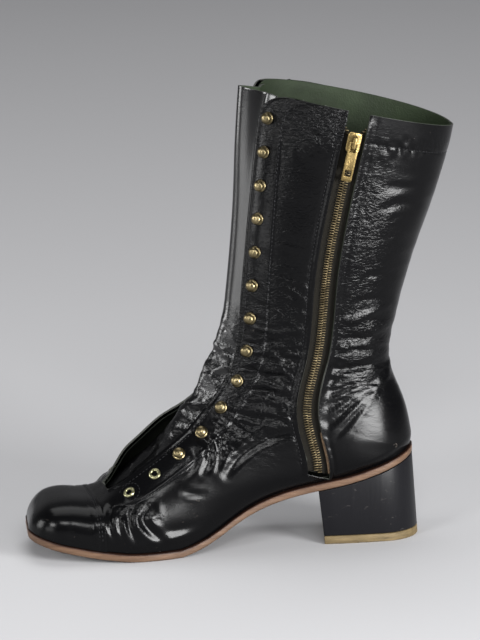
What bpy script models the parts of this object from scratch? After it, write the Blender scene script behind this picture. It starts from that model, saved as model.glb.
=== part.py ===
"""Square-toed boot for the right foot, with lacing hooks in front and a zip on its inner side.

Lengths are in millimetres until a mesh is made, where MM turns them into metres.
A station is a distance forward from the back of the heel and a height is above the floor.
Inner is the side towards the other foot (+X), outer is the far side (-X), and the toe points to -Y.
"""
import math
from collections import namedtuple

import bmesh
import bpy
import numpy as np
from mathutils import Matrix, Vector

MM = 0.001

# Driving dimensions
HEEL_BACK_Y = 121.7
SOLE_TIP = 263.8
SOLE_BACK = 3.0
SOLE_THICKNESS = 5.0
INSOLE_THICKNESS = 1.6
INSOLE_EDGE_GAP = 2.4
UPPER_WALL = 2.0
CAP_WALL = 1.2
CAP_LIFT = 1.1
TONGUE_WALL = 1.6
TONGUE_CLEARANCE = 1.2
CLEARANCE = 0.3
FEATHER_CLEARANCE = 0.7
SOLE_MARGIN = 2.0
WELD_DISTANCE = 0.01
SHARP_ANGLE = math.radians(40)

# Plan of the sole
TOE_ROUND_START = 238.0
TOE_FLAT_HALF = 16.0
TOE_SLANT = 0.12
TOE_SLANT_START = 205.0
HEEL_ROUND_START = 32.0
ROUND_STEPS = 7
ROUND_END = math.radians(84)
MIDDLE_STEP = 9.0

# Heel under the sole
BREAST_STATION = 72.5
OUTER_BREAST_STATION = 60.0
HEEL_LEAN = 4.5
LIFT_THICKNESS = 5.5
HEEL_NARROWING = 0.97
LIFT_LEAN_SHARE = 0.9

# Throat, collar and facings
THROAT_ROW = 9
CAP_ROW = 8
LAST_FEATHER_ROW = 21
COLLAR_CORNER_RADIUS = 20.0
OUTER_COLLAR_RISE = 3.0
OUTER_RISE_ROWS = 8.0
OUTER_GAP_SHARE = 0.62
GAP_COLUMNS = 2
FRONT_COLUMNS = 7
BACK_COLUMNS = 6

# Zip on the inner side
ZIP_FOOT_ROW = 17
ZIP_HALF_SLIT = 7.5
TAPE_HALF = 10.0
TAPE_THICKNESS = 0.8
TAPE_CLEARANCE = 0.8
CHAIN_HALF = 2.3
CHAIN_THICKNESS = 1.8
SLIDER_ROW = 33.35
V_OPENING_HALF = 5.5
RELAX_ROWS = 6.0
RELAXED_SLIT = (0.50, 0.58)
TAPE_END_ROWS = (0.1, 0.15)
CHAIN_END_ROWS = (0.2, 0.2)
ZIP_MESH_ROWS = 20
ZIP_SEARCH_RANGE = (0.05, 0.999)
ZIP_SEARCH_STEPS = 40

# Slider and pull tab, across (a), down the zip (b) and out of the leather (c)
SLIDER_HALF = (4.6, 6.6)
SLIDER_LOW = 0.1
SLIDER_HIGH = 2.1
SLIDER_CORNER = 1.8
SLIDER_CORNER_STEPS = 2
BRIDGE_HALF_WIDTH = 1.2
BRIDGE_OUTER = ((-5.0, 1.2), (-5.0, 3.8), (-3.6, 5.5), (3.6, 5.5), (5.0, 3.8), (5.0, 1.2))
BRIDGE_INNER = ((3.5, 1.2), (3.5, 3.4), (2.7, 4.3), (-2.7, 4.3), (-3.5, 3.4), (-3.5, 1.2))
HINGE_HEIGHT = 3.2
PULL_HALF_THICKNESS = 0.65
PULL_OUTLINE = (
    (-3.0, -0.65), (3.0, -0.65), (3.4, 0.0), (3.4, 24.8),
    (2.8, 25.8), (-2.8, 25.8), (-3.4, 24.8), (-3.4, 0.0))
PULL_WINDOW = ((-2.0, 0.65), (-2.0, 6.4), (2.0, 6.4), (2.0, 0.65))
PULL_HOLE = ((-2.1, 18.3), (-2.1, 22.5), (2.1, 22.5), (2.1, 18.3))

# Hooks and eyelets along each facing
FITTING_CLEARANCE = 0.6
HOOK_COUNT = 12
SHAFT_HOOKS = 8
EYELET_COUNT = 2
FIRST_HOOK_DROP = 17.0
SHAFT_PITCH = 22.4
INSTEP_PITCH = 21.4
ROUND_SIDES = 8
HOOK_PROFILE = ((0.0, 4.6), (2.8, 4.0), (3.7, 2.8), (1.8, 1.9), (4.3, 0.7), (4.3, 0.0), (0.0, 0.0))
EYELET_HOLE = 1.9
EYELET_PROFILE = ((EYELET_HOLE, 0.9), (3.0, 1.1), (4.1, 0.6), (4.1, 0.0), (EYELET_HOLE, 0.0))
EYELET_DRILL = 10.0
FACING_STEPS = 1200
FACING_ANGLE_STEP = 0.01

# Lowest line of the sole from toe to heel; values under the floor are levelled off to it
SoleRow = namedtuple("SoleRow", "station height")
SOLE_ROWS = (
    SoleRow(263.8, 14.4), SoleRow(250, 10.4), SoleRow(237, 6.7), SoleRow(223, 3.5), SoleRow(207, 0.9),
    SoleRow(190, -0.7), SoleRow(172, -0.6), SoleRow(160, 1.8), SoleRow(144, 8.2), SoleRow(128, 18.0),
    SoleRow(112, 26.2), SoleRow(97, 31.4), SoleRow(80, 35.4), SoleRow(63, 38.6), SoleRow(48, 41.8),
    SoleRow(34, 46.0), SoleRow(20, 51.0), SoleRow(3, 57.0),
)

# Half breadths of the sole between its rounded ends
BreadthRow = namedtuple("BreadthRow", "station inner outer")
BREADTH_ROWS = (
    BreadthRow(32, 28.6, 29.2), BreadthRow(60, 28.2, 30.4), BreadthRow(80, 26.6, 31.6),
    BreadthRow(100, 26.4, 33.4), BreadthRow(120, 27.8, 35.8), BreadthRow(140, 31.6, 38.8),
    BreadthRow(160, 37.4, 42.2), BreadthRow(180, 42.4, 44.0), BreadthRow(200, 44.2, 44.2),
    BreadthRow(220, 43.2, 42.6), BreadthRow(240, 40.6, 39.6),
)

# Sections of the upper from toe to collar. Each runs from the front ridge to the feather line or the back
# seam and sags between them; breadths are the widest halves, power is how square the section is, and gap
# is half the throat. An end height of None is the sole's own height there.
UpperRow = namedtuple(
    "UpperRow", "front_station front_height end_station end_height sag inner outer power gap")
UPPER_ROWS = (
    UpperRow(261.8, 20.4, 261.8, None, 0.0, 14.0, 14.0, 3.6, 9.0),
    UpperRow(261.1, 23.9, 261.5, None, 0.0, 17.5, 17.5, 3.6, 9.0),
    UpperRow(259.2, 28.0, 260.2, None, 0.0, 22.0, 22.0, 3.6, 9.0),
    UpperRow(255.8, 32.0, 257.4, None, 0.0, 27.0, 27.0, 3.6, 9.0),
    UpperRow(251.2, 34.9, 252.8, None, 0.0, 32.0, 32.0, 3.6, 9.0),
    UpperRow(245.4, 36.4, 246.4, None, 0.0, 35.0, 35.0, 3.6, 9.0),
    UpperRow(237.0, 37.0, 237.0, None, 0.0, 37.6, 37.2, 3.5, 9.0),
    UpperRow(228.0, 36.3, 227.0, None, 0.0, 40.2, 39.6, 3.3, 9.5),
    UpperRow(219.0, 36.6, 217.0, None, 0.0, 41.8, 41.4, 3.1, 10.0),
    UpperRow(211.0, 41.0, 207.0, None, 0.0, 42.8, 42.6, 2.8, 12.0),
    UpperRow(204.0, 47.2, 196.0, None, 0.0, 43.0, 43.2, 2.6, 17.0),
    UpperRow(197.0, 53.9, 184.0, None, 0.0, 42.4, 43.0, 2.5, 19.5),
    UpperRow(190.0, 61.0, 169.0, None, 0.5, 40.8, 42.2, 2.4, 20.0),
    UpperRow(182.0, 68.4, 150.0, None, 2.0, 38.4, 40.8, 2.35, 20.0),
    UpperRow(173.5, 76.4, 130.0, None, 4.0, 36.0, 38.8, 2.3, 19.5),
    UpperRow(165.0, 84.0, 108.0, None, 6.0, 34.0, 36.8, 2.25, 18.0),
    UpperRow(157.2, 91.2, 85.0, None, 8.0, 32.6, 34.8, 2.25, 16.0),
    UpperRow(150.0, 98.4, 60.0, None, 9.5, 31.9, 33.4, 2.35, 14.5),
    UpperRow(143.6, 105.4, 36.0, None, 10.0, 31.8, 32.6, 2.45, 14.0),
    UpperRow(138.6, 111.6, 17.0, None, 9.5, 31.8, 32.2, 2.55, 14.0),
    UpperRow(135.0, 116.8, 7.5, None, 8.5, 31.7, 31.9, 2.6, 14.0),
    UpperRow(132.4, 121.6, 5.0, None, 7.0, 31.4, 31.5, 2.6, 14.0),
    UpperRow(130.4, 127.0, 6.0, 75.0, 5.2, 31.1, 31.1, 2.55, 14.0),
    UpperRow(129.0, 133.0, 8.6, 89.0, 3.4, 30.8, 30.8, 2.5, 14.0),
    UpperRow(127.8, 140.0, 13.4, 103.5, 1.8, 30.6, 30.6, 2.45, 14.0),
    UpperRow(126.8, 148.0, 17.6, 118.5, 0.8, 30.8, 30.8, 2.4, 14.0),
    UpperRow(126.0, 157.0, 18.2, 134.0, 0.2, 31.4, 31.4, 2.35, 14.0),
    UpperRow(125.0, 169.5, 15.2, 151.0, 0.0, 33.0, 33.0, 2.3, 14.0),
    UpperRow(123.4, 187.0, 10.8, 169.0, 0.0, 35.0, 35.0, 2.25, 14.0),
    UpperRow(121.4, 207.0, 5.2, 187.5, 0.0, 36.9, 36.9, 2.2, 14.0),
    UpperRow(119.4, 227.0, -0.6, 205.5, 0.0, 38.4, 38.4, 2.2, 14.0),
    UpperRow(117.6, 246.0, -6.6, 222.5, 0.0, 39.7, 39.7, 2.2, 14.0),
    UpperRow(115.8, 264.0, -12.4, 239.0, 0.0, 40.9, 40.9, 2.2, 14.0),
    UpperRow(113.6, 281.0, -17.4, 254.5, 0.0, 42.0, 42.0, 2.2, 14.0),
    UpperRow(111.4, 295.0, -20.6, 267.0, 0.0, 42.9, 42.9, 2.2, 14.0),
    UpperRow(109.2, 306.3, -22.5, 277.0, 0.0, 43.5, 43.5, 2.2, 14.0),
)
COLLAR_ROW = len(UPPER_ROWS) - 1
MESH_ROWS_BETWEEN = (
    11.5, 12.5, 13.5, 14.5, 15.5, 16.5, 17.5, 18.5, 19.5, 20.5, 33.5, 34.3, 34.6, 34.8, 34.92)
RIDGE_FLAT = 0.14
NORMAL_ROW_STEP = 0.05
NORMAL_ANGLE_STEP = 0.02

# Middle line of the zip, seen from the side
ZipRow = namedtuple("ZipRow", "height station")
ZIP_ROWS = (
    ZipRow(40, 73.4), ZipRow(58, 74.2), ZipRow(75, 78.4), ZipRow(94, 81.2), ZipRow(126, 74.8),
    ZipRow(178, 70.2), ZipRow(237, 61.4), ZipRow(300, 48.8),
)

# Tongue from the low end of the throat to its free top: how far it stands out of the throat, and its half
# breadth
TongueRow = namedtuple("TongueRow", "row bulge half")
TONGUE_ROWS = (
    TongueRow(8.4, -3.2, 16.0), TongueRow(10.0, -5.0, 20.0), TongueRow(11.5, -6.5, 24.0),
    TongueRow(12.6, -5.6, 25.0), TongueRow(13.6, -2.0, 25.0), TongueRow(15.2, 1.2, 24.0),
    TongueRow(17.0, 4.8, 22.5), TongueRow(19.0, 8.2, 21.0), TongueRow(20.8, 10.0, 20.0),
    TongueRow(25.0, 6.2, 20.0), TongueRow(30.0, 5.8, 21.0), TongueRow(33.0, 9.5, 21.5),
    TongueRow(34.8, 12.0, 22.0),
)
TONGUE_MESH_ROWS = 22
TONGUE_MESH_COLUMNS = 10

# How far the hooks and eyelets stand behind the edge of the facing
FacingRow = namedtuple("FacingRow", "row setback")
FACING_ROWS = (
    FacingRow(9, 12.0), FacingRow(11, 11.5), FacingRow(13, 9.5), FacingRow(16, 8.5), FacingRow(20, 8.0),
    FacingRow(25, 8.0), FacingRow(35, 8.0),
)

INNER = 1
OUTER = -1


# Curves and small helpers


def spline(places, values):
    """Return a smooth curve through the values at the given rising places."""
    places = np.asarray(places, float)
    values = np.asarray(values, float)
    gaps = np.diff(places)
    count = len(places)
    system = np.eye(count)
    load = np.zeros_like(values)
    for i in range(1, count - 1):
        system[i, i - 1:i + 2] = gaps[i - 1], 2 * (gaps[i - 1] + gaps[i]), gaps[i]
        load[i] = 6 * ((values[i + 1] - values[i]) / gaps[i] - (values[i] - values[i - 1]) / gaps[i - 1])
    bend = np.linalg.solve(system, load)

    def at(place):
        i = min(max(int(np.searchsorted(places, place)) - 1, 0), count - 2)
        back = (places[i + 1] - place) / gaps[i]
        ahead = 1 - back
        curving = (back ** 3 - back) * bend[i] + (ahead ** 3 - ahead) * bend[i + 1]
        return back * values[i] + ahead * values[i + 1] + curving * gaps[i] ** 2 / 6

    return at


def column_spline(rows, place, *columns):
    """Return a curve through some columns of a table, read along its place column."""
    ordered = sorted(rows, key=lambda row: getattr(row, place))
    values = [[getattr(row, column) for column in columns] for row in ordered]
    return spline([getattr(row, place) for row in ordered], values)


def signed_power(value, power):
    return math.copysign(abs(value) ** power, value)


def toe_slant(breadth, station):
    """Return how far a point of the toe lies ahead of its station, as its inner side is the longer one."""
    share = min(max((station - TOE_SLANT_START) / (SOLE_TIP - TOE_SLANT_START), 0.0), 1.0)
    return TOE_SLANT * breadth * share * share * (3 - 2 * share)


def world(breadth, station, height):
    """Return the point in metres for a signed breadth, a station and a height."""
    return Vector((breadth, HEEL_BACK_Y - station - toe_slant(breadth, station), height)) * MM


# The sole's own lines


sole_line = column_spline(SOLE_ROWS, "station", "height")
sole_breadths = column_spline(BREADTH_ROWS, "station", "inner", "outer")


def sole_bottom(station):
    return max(0.0, float(sole_line(station)[0]))


def sole_top(station):
    return sole_bottom(station) + SOLE_THICKNESS


def half_breadth(station, side, inset=0.0):
    """Return the half breadth of the sole's outline drawn in by an inset, round at heel and toe corners."""
    along = min(max(station, HEEL_ROUND_START), TOE_ROUND_START)
    breadth = float(sole_breadths(along)[0 if side == INNER else 1]) - inset
    if station < HEEL_ROUND_START:
        turn = (HEEL_ROUND_START - station) / (HEEL_ROUND_START - SOLE_BACK - inset)
        return breadth * math.sqrt(max(0.0, 1 - turn * turn))
    if station > TOE_ROUND_START:
        turn = (station - TOE_ROUND_START) / (SOLE_TIP - inset - TOE_ROUND_START)
        flat = TOE_FLAT_HALF - inset
        return flat + (breadth - flat) * math.sqrt(max(0.0, 1 - turn * turn))
    return breadth


def outline_stations(front, inset=0.0, round_toe=True):
    """Return stations from a front end to the back of the heel, closer together on the rounded ends."""
    turns = [ROUND_END * i / ROUND_STEPS for i in range(ROUND_STEPS + 1)]
    heel_reach = HEEL_ROUND_START - SOLE_BACK - inset
    stations = [HEEL_ROUND_START - heel_reach * math.sin(turn) for turn in turns]
    last = TOE_ROUND_START if round_toe else front
    steps = max(1, round((last - HEEL_ROUND_START) / MIDDLE_STEP))
    stations += [HEEL_ROUND_START + (last - HEEL_ROUND_START) * i / steps for i in range(1, steps + 1)]
    if round_toe:
        reach = front - TOE_ROUND_START
        stations += [TOE_ROUND_START + reach * math.sin(turn) for turn in turns[1:]]
        stations.append(front)
    return sorted(stations, reverse=True)


# The upper's surface, which the cap, tongue, zip and hooks share


SPLINED_COLUMNS = ("front_station", "front_height", "end_station", "sag", "inner", "outer", "power", "gap")
upper_table = spline(
    range(len(UPPER_ROWS)),
    [[getattr(row, column) for column in SPLINED_COLUMNS] for row in UPPER_ROWS])
back_heights = spline(
    range(LAST_FEATHER_ROW, len(UPPER_ROWS)),
    [row.end_height or sole_top(row.end_station) + FEATHER_CLEARANCE
     for row in UPPER_ROWS[LAST_FEATHER_ROW:]])
zip_line = column_spline(ZIP_ROWS, "height", "station")

Section = namedtuple("Section", "front end sag breadths ends power")
section_store = {}


def section(row):
    """Return the upper's section at a row, which may lie between two rows of the table."""
    if row not in section_store:
        front_s, front_z, end_s, sag, inner, outer, power = (float(v) for v in upper_table(row)[:7])
        if row <= LAST_FEATHER_ROW:
            end_z = sole_top(end_s) + FEATHER_CLEARANCE
            feather = [half_breadth(end_s, side, SOLE_MARGIN) for side in (INNER, OUTER)]
        else:
            end_z = float(back_heights(row))
            feather = [0.0, 0.0]
        if row >= LAST_FEATHER_ROW:
            feather = [0.0, 0.0]
        breadths = [max(wide, low) for wide, low in zip((inner, outer), feather)]
        ends = [math.pi - math.asin((low / wide) ** (power / 2)) for wide, low in zip(breadths, feather)]
        section_store[row] = Section((front_s, front_z), (end_s, end_z), sag, breadths, ends, power)
    return section_store[row]


def half_gap(row, side, round_corner=True):
    """Return half the throat on one side, which may include the round corner of facing and collar."""
    gap = float(upper_table(row)[7])
    if side == OUTER:
        gap *= OUTER_GAP_SHARE
    rise = COLLAR_CORNER_RADIUS - float(upper_table(COLLAR_ROW)[1] - upper_table(row)[1])
    if round_corner and rise > 0:
        gap += COLLAR_CORNER_RADIUS - math.sqrt(COLLAR_CORNER_RADIUS ** 2 - rise ** 2)
    return gap


def side_index(side):
    return 0 if side == INNER else 1


def side_view(row, along):
    """Return station and height at a fraction of the way from a section's ridge to its end."""
    shape = section(row)
    station = shape.front[0] + along * (shape.end[0] - shape.front[0])
    height = shape.front[1] + along * (shape.end[1] - shape.front[1]) - 4 * shape.sag * along * (1 - along)
    return station, height


def skin(row, side, angle):
    """Return the point of the upper's outside, in millimetres, at an angle round its section."""
    shape = section(row)
    power = 2 / shape.power
    end_fall = signed_power(math.cos(shape.ends[side_index(side)]), power)
    along = (1 - signed_power(math.cos(angle), power)) / (1 - end_fall)
    station, height = side_view(row, along)
    breadth = shape.breadths[side_index(side)] * abs(math.sin(angle)) ** power
    if side == OUTER:
        rise = max(0.0, 1 - (COLLAR_ROW - row) / OUTER_RISE_ROWS) ** 2
        height += OUTER_COLLAR_RISE * rise * math.sin(angle)
    station += toe_slant(side * breadth, station)
    return np.array((side * breadth, HEEL_BACK_Y - station, height))


def outward(row, side, angle):
    """Return the unit normal of the upper at a point, pointing out of the boot."""
    end = section(row).ends[side_index(side)]
    held = min(max(angle, RIDGE_FLAT), end - RIDGE_FLAT)
    low = max(row - NORMAL_ROW_STEP, 0.0)
    high = min(row + NORMAL_ROW_STEP, COLLAR_ROW)
    across = skin(row, side, held + NORMAL_ANGLE_STEP) - skin(row, side, held - NORMAL_ANGLE_STEP)
    lengthwise = skin(high, side, held) - skin(low, side, held)
    normal = np.cross(across, lengthwise) * side
    normal[0] *= min(1.0, angle / RIDGE_FLAT)
    return normal / np.linalg.norm(normal)


def breadth_angle(row, side, breadth):
    """Return the angle on the front of a section where it reaches a half breadth."""
    shape = section(row)
    return math.asin((breadth / shape.breadths[side_index(side)]) ** (shape.power / 2))


def along_angle(row, side, along):
    """Return the angle at a fraction of the way from a section's ridge to its end."""
    shape = section(row)
    end_fall = signed_power(math.cos(shape.ends[side_index(side)]), 2 / shape.power)
    return math.acos(signed_power(1 - along * (1 - end_fall), shape.power / 2))


def zip_angle(row, offset):
    """Return the angle where a section crosses a line beside the zip's middle."""

    def ahead_of_zip(along):
        station, height = side_view(row, along)
        return station - float(zip_line(height)[0]) - offset

    near, far = ZIP_SEARCH_RANGE
    for _ in range(ZIP_SEARCH_STEPS):
        middle = (near + far) / 2
        if ahead_of_zip(middle) > 0:
            near = middle
        else:
            far = middle
    return along_angle(row, INNER, near)


def slit_fractions(row):
    """Return where the slit's two edges lie between facing edge and section end, also below its foot."""
    held = max(row, ZIP_FOOT_ROW)
    first = breadth_angle(held, INNER, half_gap(held, INNER))
    span = section(held).ends[0] - first
    edges = [(zip_angle(held, offset) - first) / span for offset in (ZIP_HALF_SLIT, -ZIP_HALF_SLIT)]
    relaxed = min(1.0, (held - row) / RELAX_ROWS)
    return [edge + (rest - edge) * relaxed for edge, rest in zip(edges, RELAXED_SLIT)]


def column_angles(row, side):
    """Return the angles of the mesh columns from the ridge to the end of a section."""
    first = breadth_angle(row, side, half_gap(row, side))
    end = section(row).ends[side_index(side)]
    if side == INNER:
        front, back = (first + (end - first) * fraction for fraction in slit_fractions(row))
    else:
        front = first + (end - first) * FRONT_COLUMNS / (FRONT_COLUMNS + 1 + BACK_COLUMNS)
        back = first + (end - first) * (FRONT_COLUMNS + 1) / (FRONT_COLUMNS + 1 + BACK_COLUMNS)
    return np.concatenate((
        np.linspace(0, first, GAP_COLUMNS + 1)[:-1], np.linspace(first, front, FRONT_COLUMNS + 1),
        np.linspace(back, end, BACK_COLUMNS + 1)))


# Scene and object helpers


def clear_scene():
    for thing in list(bpy.data.objects):
        bpy.data.objects.remove(thing, do_unlink=True)


def new_collection(name):
    collection = bpy.data.collections.new(name)
    bpy.context.scene.collection.children.link(collection)
    return collection


def new_material(name, colour, roughness, metallic=0.0):
    material = bpy.data.materials.new(name)
    material.use_nodes = True
    shader = material.node_tree.nodes["Principled BSDF"]
    shader.inputs["Base Color"].default_value = (*colour, 1.0)
    shader.inputs["Roughness"].default_value = roughness
    shader.inputs["Metallic"].default_value = metallic
    return material


def add_object(name, bm, collection, material):
    """Make a named object of a bmesh, with its faces shaded smooth between sharp edges."""
    mesh = bpy.data.meshes.new(name)
    bm.to_mesh(mesh)
    bm.free()
    mesh.materials.append(material)
    mesh.shade_smooth()
    mesh.set_sharp_from_angle(angle=SHARP_ANGLE)
    made = bpy.data.objects.new(name, mesh)
    collection.objects.link(made)
    return made


def add_wall(made, thickness, offset, even=True):
    """Give an open surface its wall; an offset of -1 goes inwards and 1 outwards."""
    wall = made.modifiers.new("wall", "SOLIDIFY")
    wall.thickness = thickness * MM
    wall.offset = offset
    wall.use_even_offset = even
    return made


def add_boolean(made, tool, operation):
    """Join or cut an object with a tool, which itself stays out of the picture."""
    tool.hide_render = True
    tool.display_type = "WIRE"
    step = made.modifiers.new(tool.name, "BOOLEAN")
    step.operation = operation
    step.solver = "EXACT"
    step.object = tool


def grid_faces(bm, grid, keep=lambda i, j: True):
    """Join neighbouring rows of vertices with quads, leaving out corners that coincide."""
    for i in range(len(grid) - 1):
        for j in range(len(grid[i]) - 1):
            if not keep(i, j):
                continue
            corners = []
            for vertex in (grid[i][j], grid[i][j + 1], grid[i + 1][j + 1], grid[i + 1][j]):
                if vertex not in corners:
                    corners.append(vertex)
            bm.faces.new(corners)


def point_out(bm, outside):
    """Turn all faces so that the one nearest to a point outside the surface faces it."""
    bmesh.ops.recalc_face_normals(bm, faces=bm.faces)
    nearest = min(bm.faces, key=lambda face: (face.calc_center_median() - outside).length)
    if nearest.normal.dot(outside - nearest.calc_center_median()) < 0:
        bmesh.ops.reverse_faces(bm, faces=bm.faces)


def slab(name, rings, collection, material):
    """Make a solid through rings of four corners, closed by its first and last ring."""
    bm = bmesh.new()
    made = [[bm.verts.new(corner) for corner in ring] for ring in rings]
    for before, after in zip(made, made[1:]):
        for i in range(4):
            bm.faces.new((before[i], before[(i + 1) % 4], after[(i + 1) % 4], after[i]))
    bm.faces.new(made[0])
    bm.faces.new(made[-1])
    bmesh.ops.recalc_face_normals(bm, faces=bm.faces)
    return add_object(name, bm, collection, material)


# Sole and heel


def make_outsole(collection, material):
    rings = []
    for station in outline_stations(SOLE_TIP):
        inner, outer = half_breadth(station, INNER), half_breadth(station, OUTER)
        low, high = sole_bottom(station), sole_top(station)
        rings.append((world(inner, station, high), world(-outer, station, high),
                      world(-outer, station, low), world(inner, station, low)))
    return slab("outsole", rings, collection, material)


def make_insole(collection, material):
    inset = SOLE_MARGIN + UPPER_WALL + INSOLE_EDGE_GAP
    rings = []
    for station in outline_stations(SOLE_TIP - inset, inset):
        inner, outer = half_breadth(station, INNER, inset), half_breadth(station, OUTER, inset)
        low = sole_top(station) + CLEARANCE
        high = low + INSOLE_THICKNESS
        rings.append((world(inner, station, high), world(-outer, station, high),
                      world(-outer, station, low), world(inner, station, low)))
    return slab("insole", rings, collection, material)


def heel_station(station, side):
    """Return a heel station moved back on the outer side, where the breast stands further back."""
    if side == INNER or station < HEEL_ROUND_START:
        return station
    reach = (OUTER_BREAST_STATION - HEEL_ROUND_START) / (BREAST_STATION - HEEL_ROUND_START)
    return HEEL_ROUND_START + (station - HEEL_ROUND_START) * reach


def heel_ring(station, low, high, lean_low, lean_high):
    """Return a heel ring that leans back towards the floor; a high of None meets the sole."""
    corners = []
    for height, lean, order in ((high, lean_high, (INNER, OUTER)), (low, lean_low, (OUTER, INNER))):
        narrowing = 1 - (1 - HEEL_NARROWING) * lean / HEEL_LEAN
        for side in order:
            place = heel_station(station, side)
            top = sole_bottom(place) - CLEARANCE if height is None else height
            corners.append(world(side * half_breadth(place, side) * narrowing, place - lean, top))
    return corners


def make_heel(collection, block_material, lift_material):
    stations = outline_stations(BREAST_STATION, round_toe=False)
    lift_lean = HEEL_LEAN * LIFT_LEAN_SHARE
    block_low = LIFT_THICKNESS + CLEARANCE
    block = [heel_ring(s, block_low, None, lift_lean, 0.0) for s in stations]
    lift = [heel_ring(s, 0.0, LIFT_THICKNESS, HEEL_LEAN, lift_lean) for s in stations]
    slab("heel_block", block, collection, block_material)
    slab("heel_top_lift", lift, collection, lift_material)


# Upper, toe cap and tongue


def upper_grid(bm, rows):
    """Return rows of vertices from the inner end of a section over the ridge to its outer end."""
    grid = []
    for row in rows:
        inner, outer = (
            [bm.verts.new(Vector(skin(row, side, angle)) * MM) for angle in column_angles(row, side)[first:]]
            for side, first in ((INNER, 0), (OUTER, 1)))
        grid.append(inner[::-1] + outer)
    return grid


def make_upper(collection, material):
    rows = sorted((*range(COLLAR_ROW + 1), *MESH_ROWS_BETWEEN))
    bm = bmesh.new()
    grid = upper_grid(bm, rows)
    ridge = GAP_COLUMNS + FRONT_COLUMNS + 1 + BACK_COLUMNS

    def keep(i, j):
        in_throat = rows[i] >= THROAT_ROW and ridge - GAP_COLUMNS <= j < ridge + GAP_COLUMNS
        in_slit = rows[i] >= ZIP_FOOT_ROW and j == BACK_COLUMNS
        return not (in_throat or in_slit)

    grid_faces(bm, grid, keep)
    bmesh.ops.delete(bm, geom=[v for v in bm.verts if not v.link_faces], context="VERTS")
    bmesh.ops.remove_doubles(bm, verts=bm.verts, dist=WELD_DISTANCE * MM)
    point_out(bm, world(0, SOLE_TIP + 100, 40))
    return add_wall(add_object("upper", bm, collection, material), UPPER_WALL, -1)


def make_toe_cap(collection, material):
    bm = bmesh.new()
    grid = upper_grid(bm, range(CAP_ROW + 1))
    grid_faces(bm, grid)
    point_out(bm, world(0, SOLE_TIP + 100, 40))
    bm.normal_update()
    for vertex in bm.verts:
        vertex.co += vertex.normal * CLEARANCE * MM
        station = HEEL_BACK_Y - vertex.co.y / MM
        station -= toe_slant(vertex.co.x / MM, station)
        lowest = sole_top(station) + FEATHER_CLEARANCE + CAP_LIFT
        vertex.co.z = max(vertex.co.z, lowest * MM)
    return add_wall(add_object("toe_cap", bm, collection, material), CAP_WALL, 1, even=False)


def tongue_point(row, share, bulge, half):
    """Return a point of the tongue's outside, arched out of the throat and tucked under the facings."""
    breadth = abs(share) * half
    side = INNER if share >= 0 else OUTER
    tucked = UPPER_WALL + TONGUE_CLEARANCE
    gap = half_gap(row, side, round_corner=False)
    swell = math.cos(math.pi / 2 * min(1.0, breadth / gap)) ** 2
    angle = breadth_angle(row, side, breadth)
    rise = -tucked + (bulge + tucked) * swell
    return Vector(skin(row, side, angle) + outward(row, side, angle) * rise) * MM


def make_tongue(collection, material):
    sizes = column_spline(TONGUE_ROWS, "row", "bulge", "half")
    bm = bmesh.new()
    grid = []
    for row in np.linspace(TONGUE_ROWS[0].row, TONGUE_ROWS[-1].row, TONGUE_MESH_ROWS):
        bulge, half = (float(value) for value in sizes(row))
        shares = np.linspace(-1, 1, TONGUE_MESH_COLUMNS + 1)
        grid.append([bm.verts.new(tongue_point(row, share, bulge, half)) for share in shares])
    grid_faces(bm, grid)
    point_out(bm, world(0, SOLE_TIP, 300))
    return add_wall(add_object("tongue", bm, collection, material), TONGUE_WALL, -1)


# Zip


def zip_point(row, offset, depth):
    """Return a point beside the zip's middle line, at a depth under the upper's outside."""
    angle = zip_angle(row, offset)
    return Vector(skin(row, INNER, angle) - outward(row, INNER, angle) * depth) * MM


def zip_parting(row):
    """Return half the opening between the two halves of the zip, which is zero below the slider."""
    return V_OPENING_HALF * max(0.0, row - SLIDER_ROW) / (COLLAR_ROW - SLIDER_ROW)


def make_zip_strip(name, half, keeps_width, depth, thickness, end_rows, collection, material):
    """Make tape or chain: two half strips that meet below the slider and part above it."""
    rows = np.linspace(ZIP_FOOT_ROW + end_rows[0], COLLAR_ROW - end_rows[1], ZIP_MESH_ROWS)
    bm = bmesh.new()
    for side in (1, -1):
        grid = []
        for row in rows:
            parting = zip_parting(row)
            edge = parting + half if keeps_width else half
            offsets = (side * edge, side * (edge + parting) / 2, side * parting)
            grid.append([bm.verts.new(zip_point(row, offset, depth)) for offset in offsets])
        grid_faces(bm, grid)
    bmesh.ops.remove_doubles(bm, verts=bm.verts, dist=WELD_DISTANCE * MM)
    point_out(bm, world(200, 70, 200))
    return add_wall(add_object(name, bm, collection, material), thickness, -1)


def slider_frame():
    """Return the frame of the slider: across the zip, down the zip and out of the leather."""
    here = zip_point(SLIDER_ROW, 0.0, 0.0)
    down = (zip_point(SLIDER_ROW - 0.5, 0.0, 0.0) - zip_point(SLIDER_ROW + 0.5, 0.0, 0.0)).normalized()
    out = Vector(outward(SLIDER_ROW, INNER, zip_angle(SLIDER_ROW, 0.0)))
    across = down.cross(out).normalized()
    out = across.cross(down).normalized()
    turned = Matrix((across, down, out)).transposed()
    return Matrix.Translation(here) @ turned.to_4x4()


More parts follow.
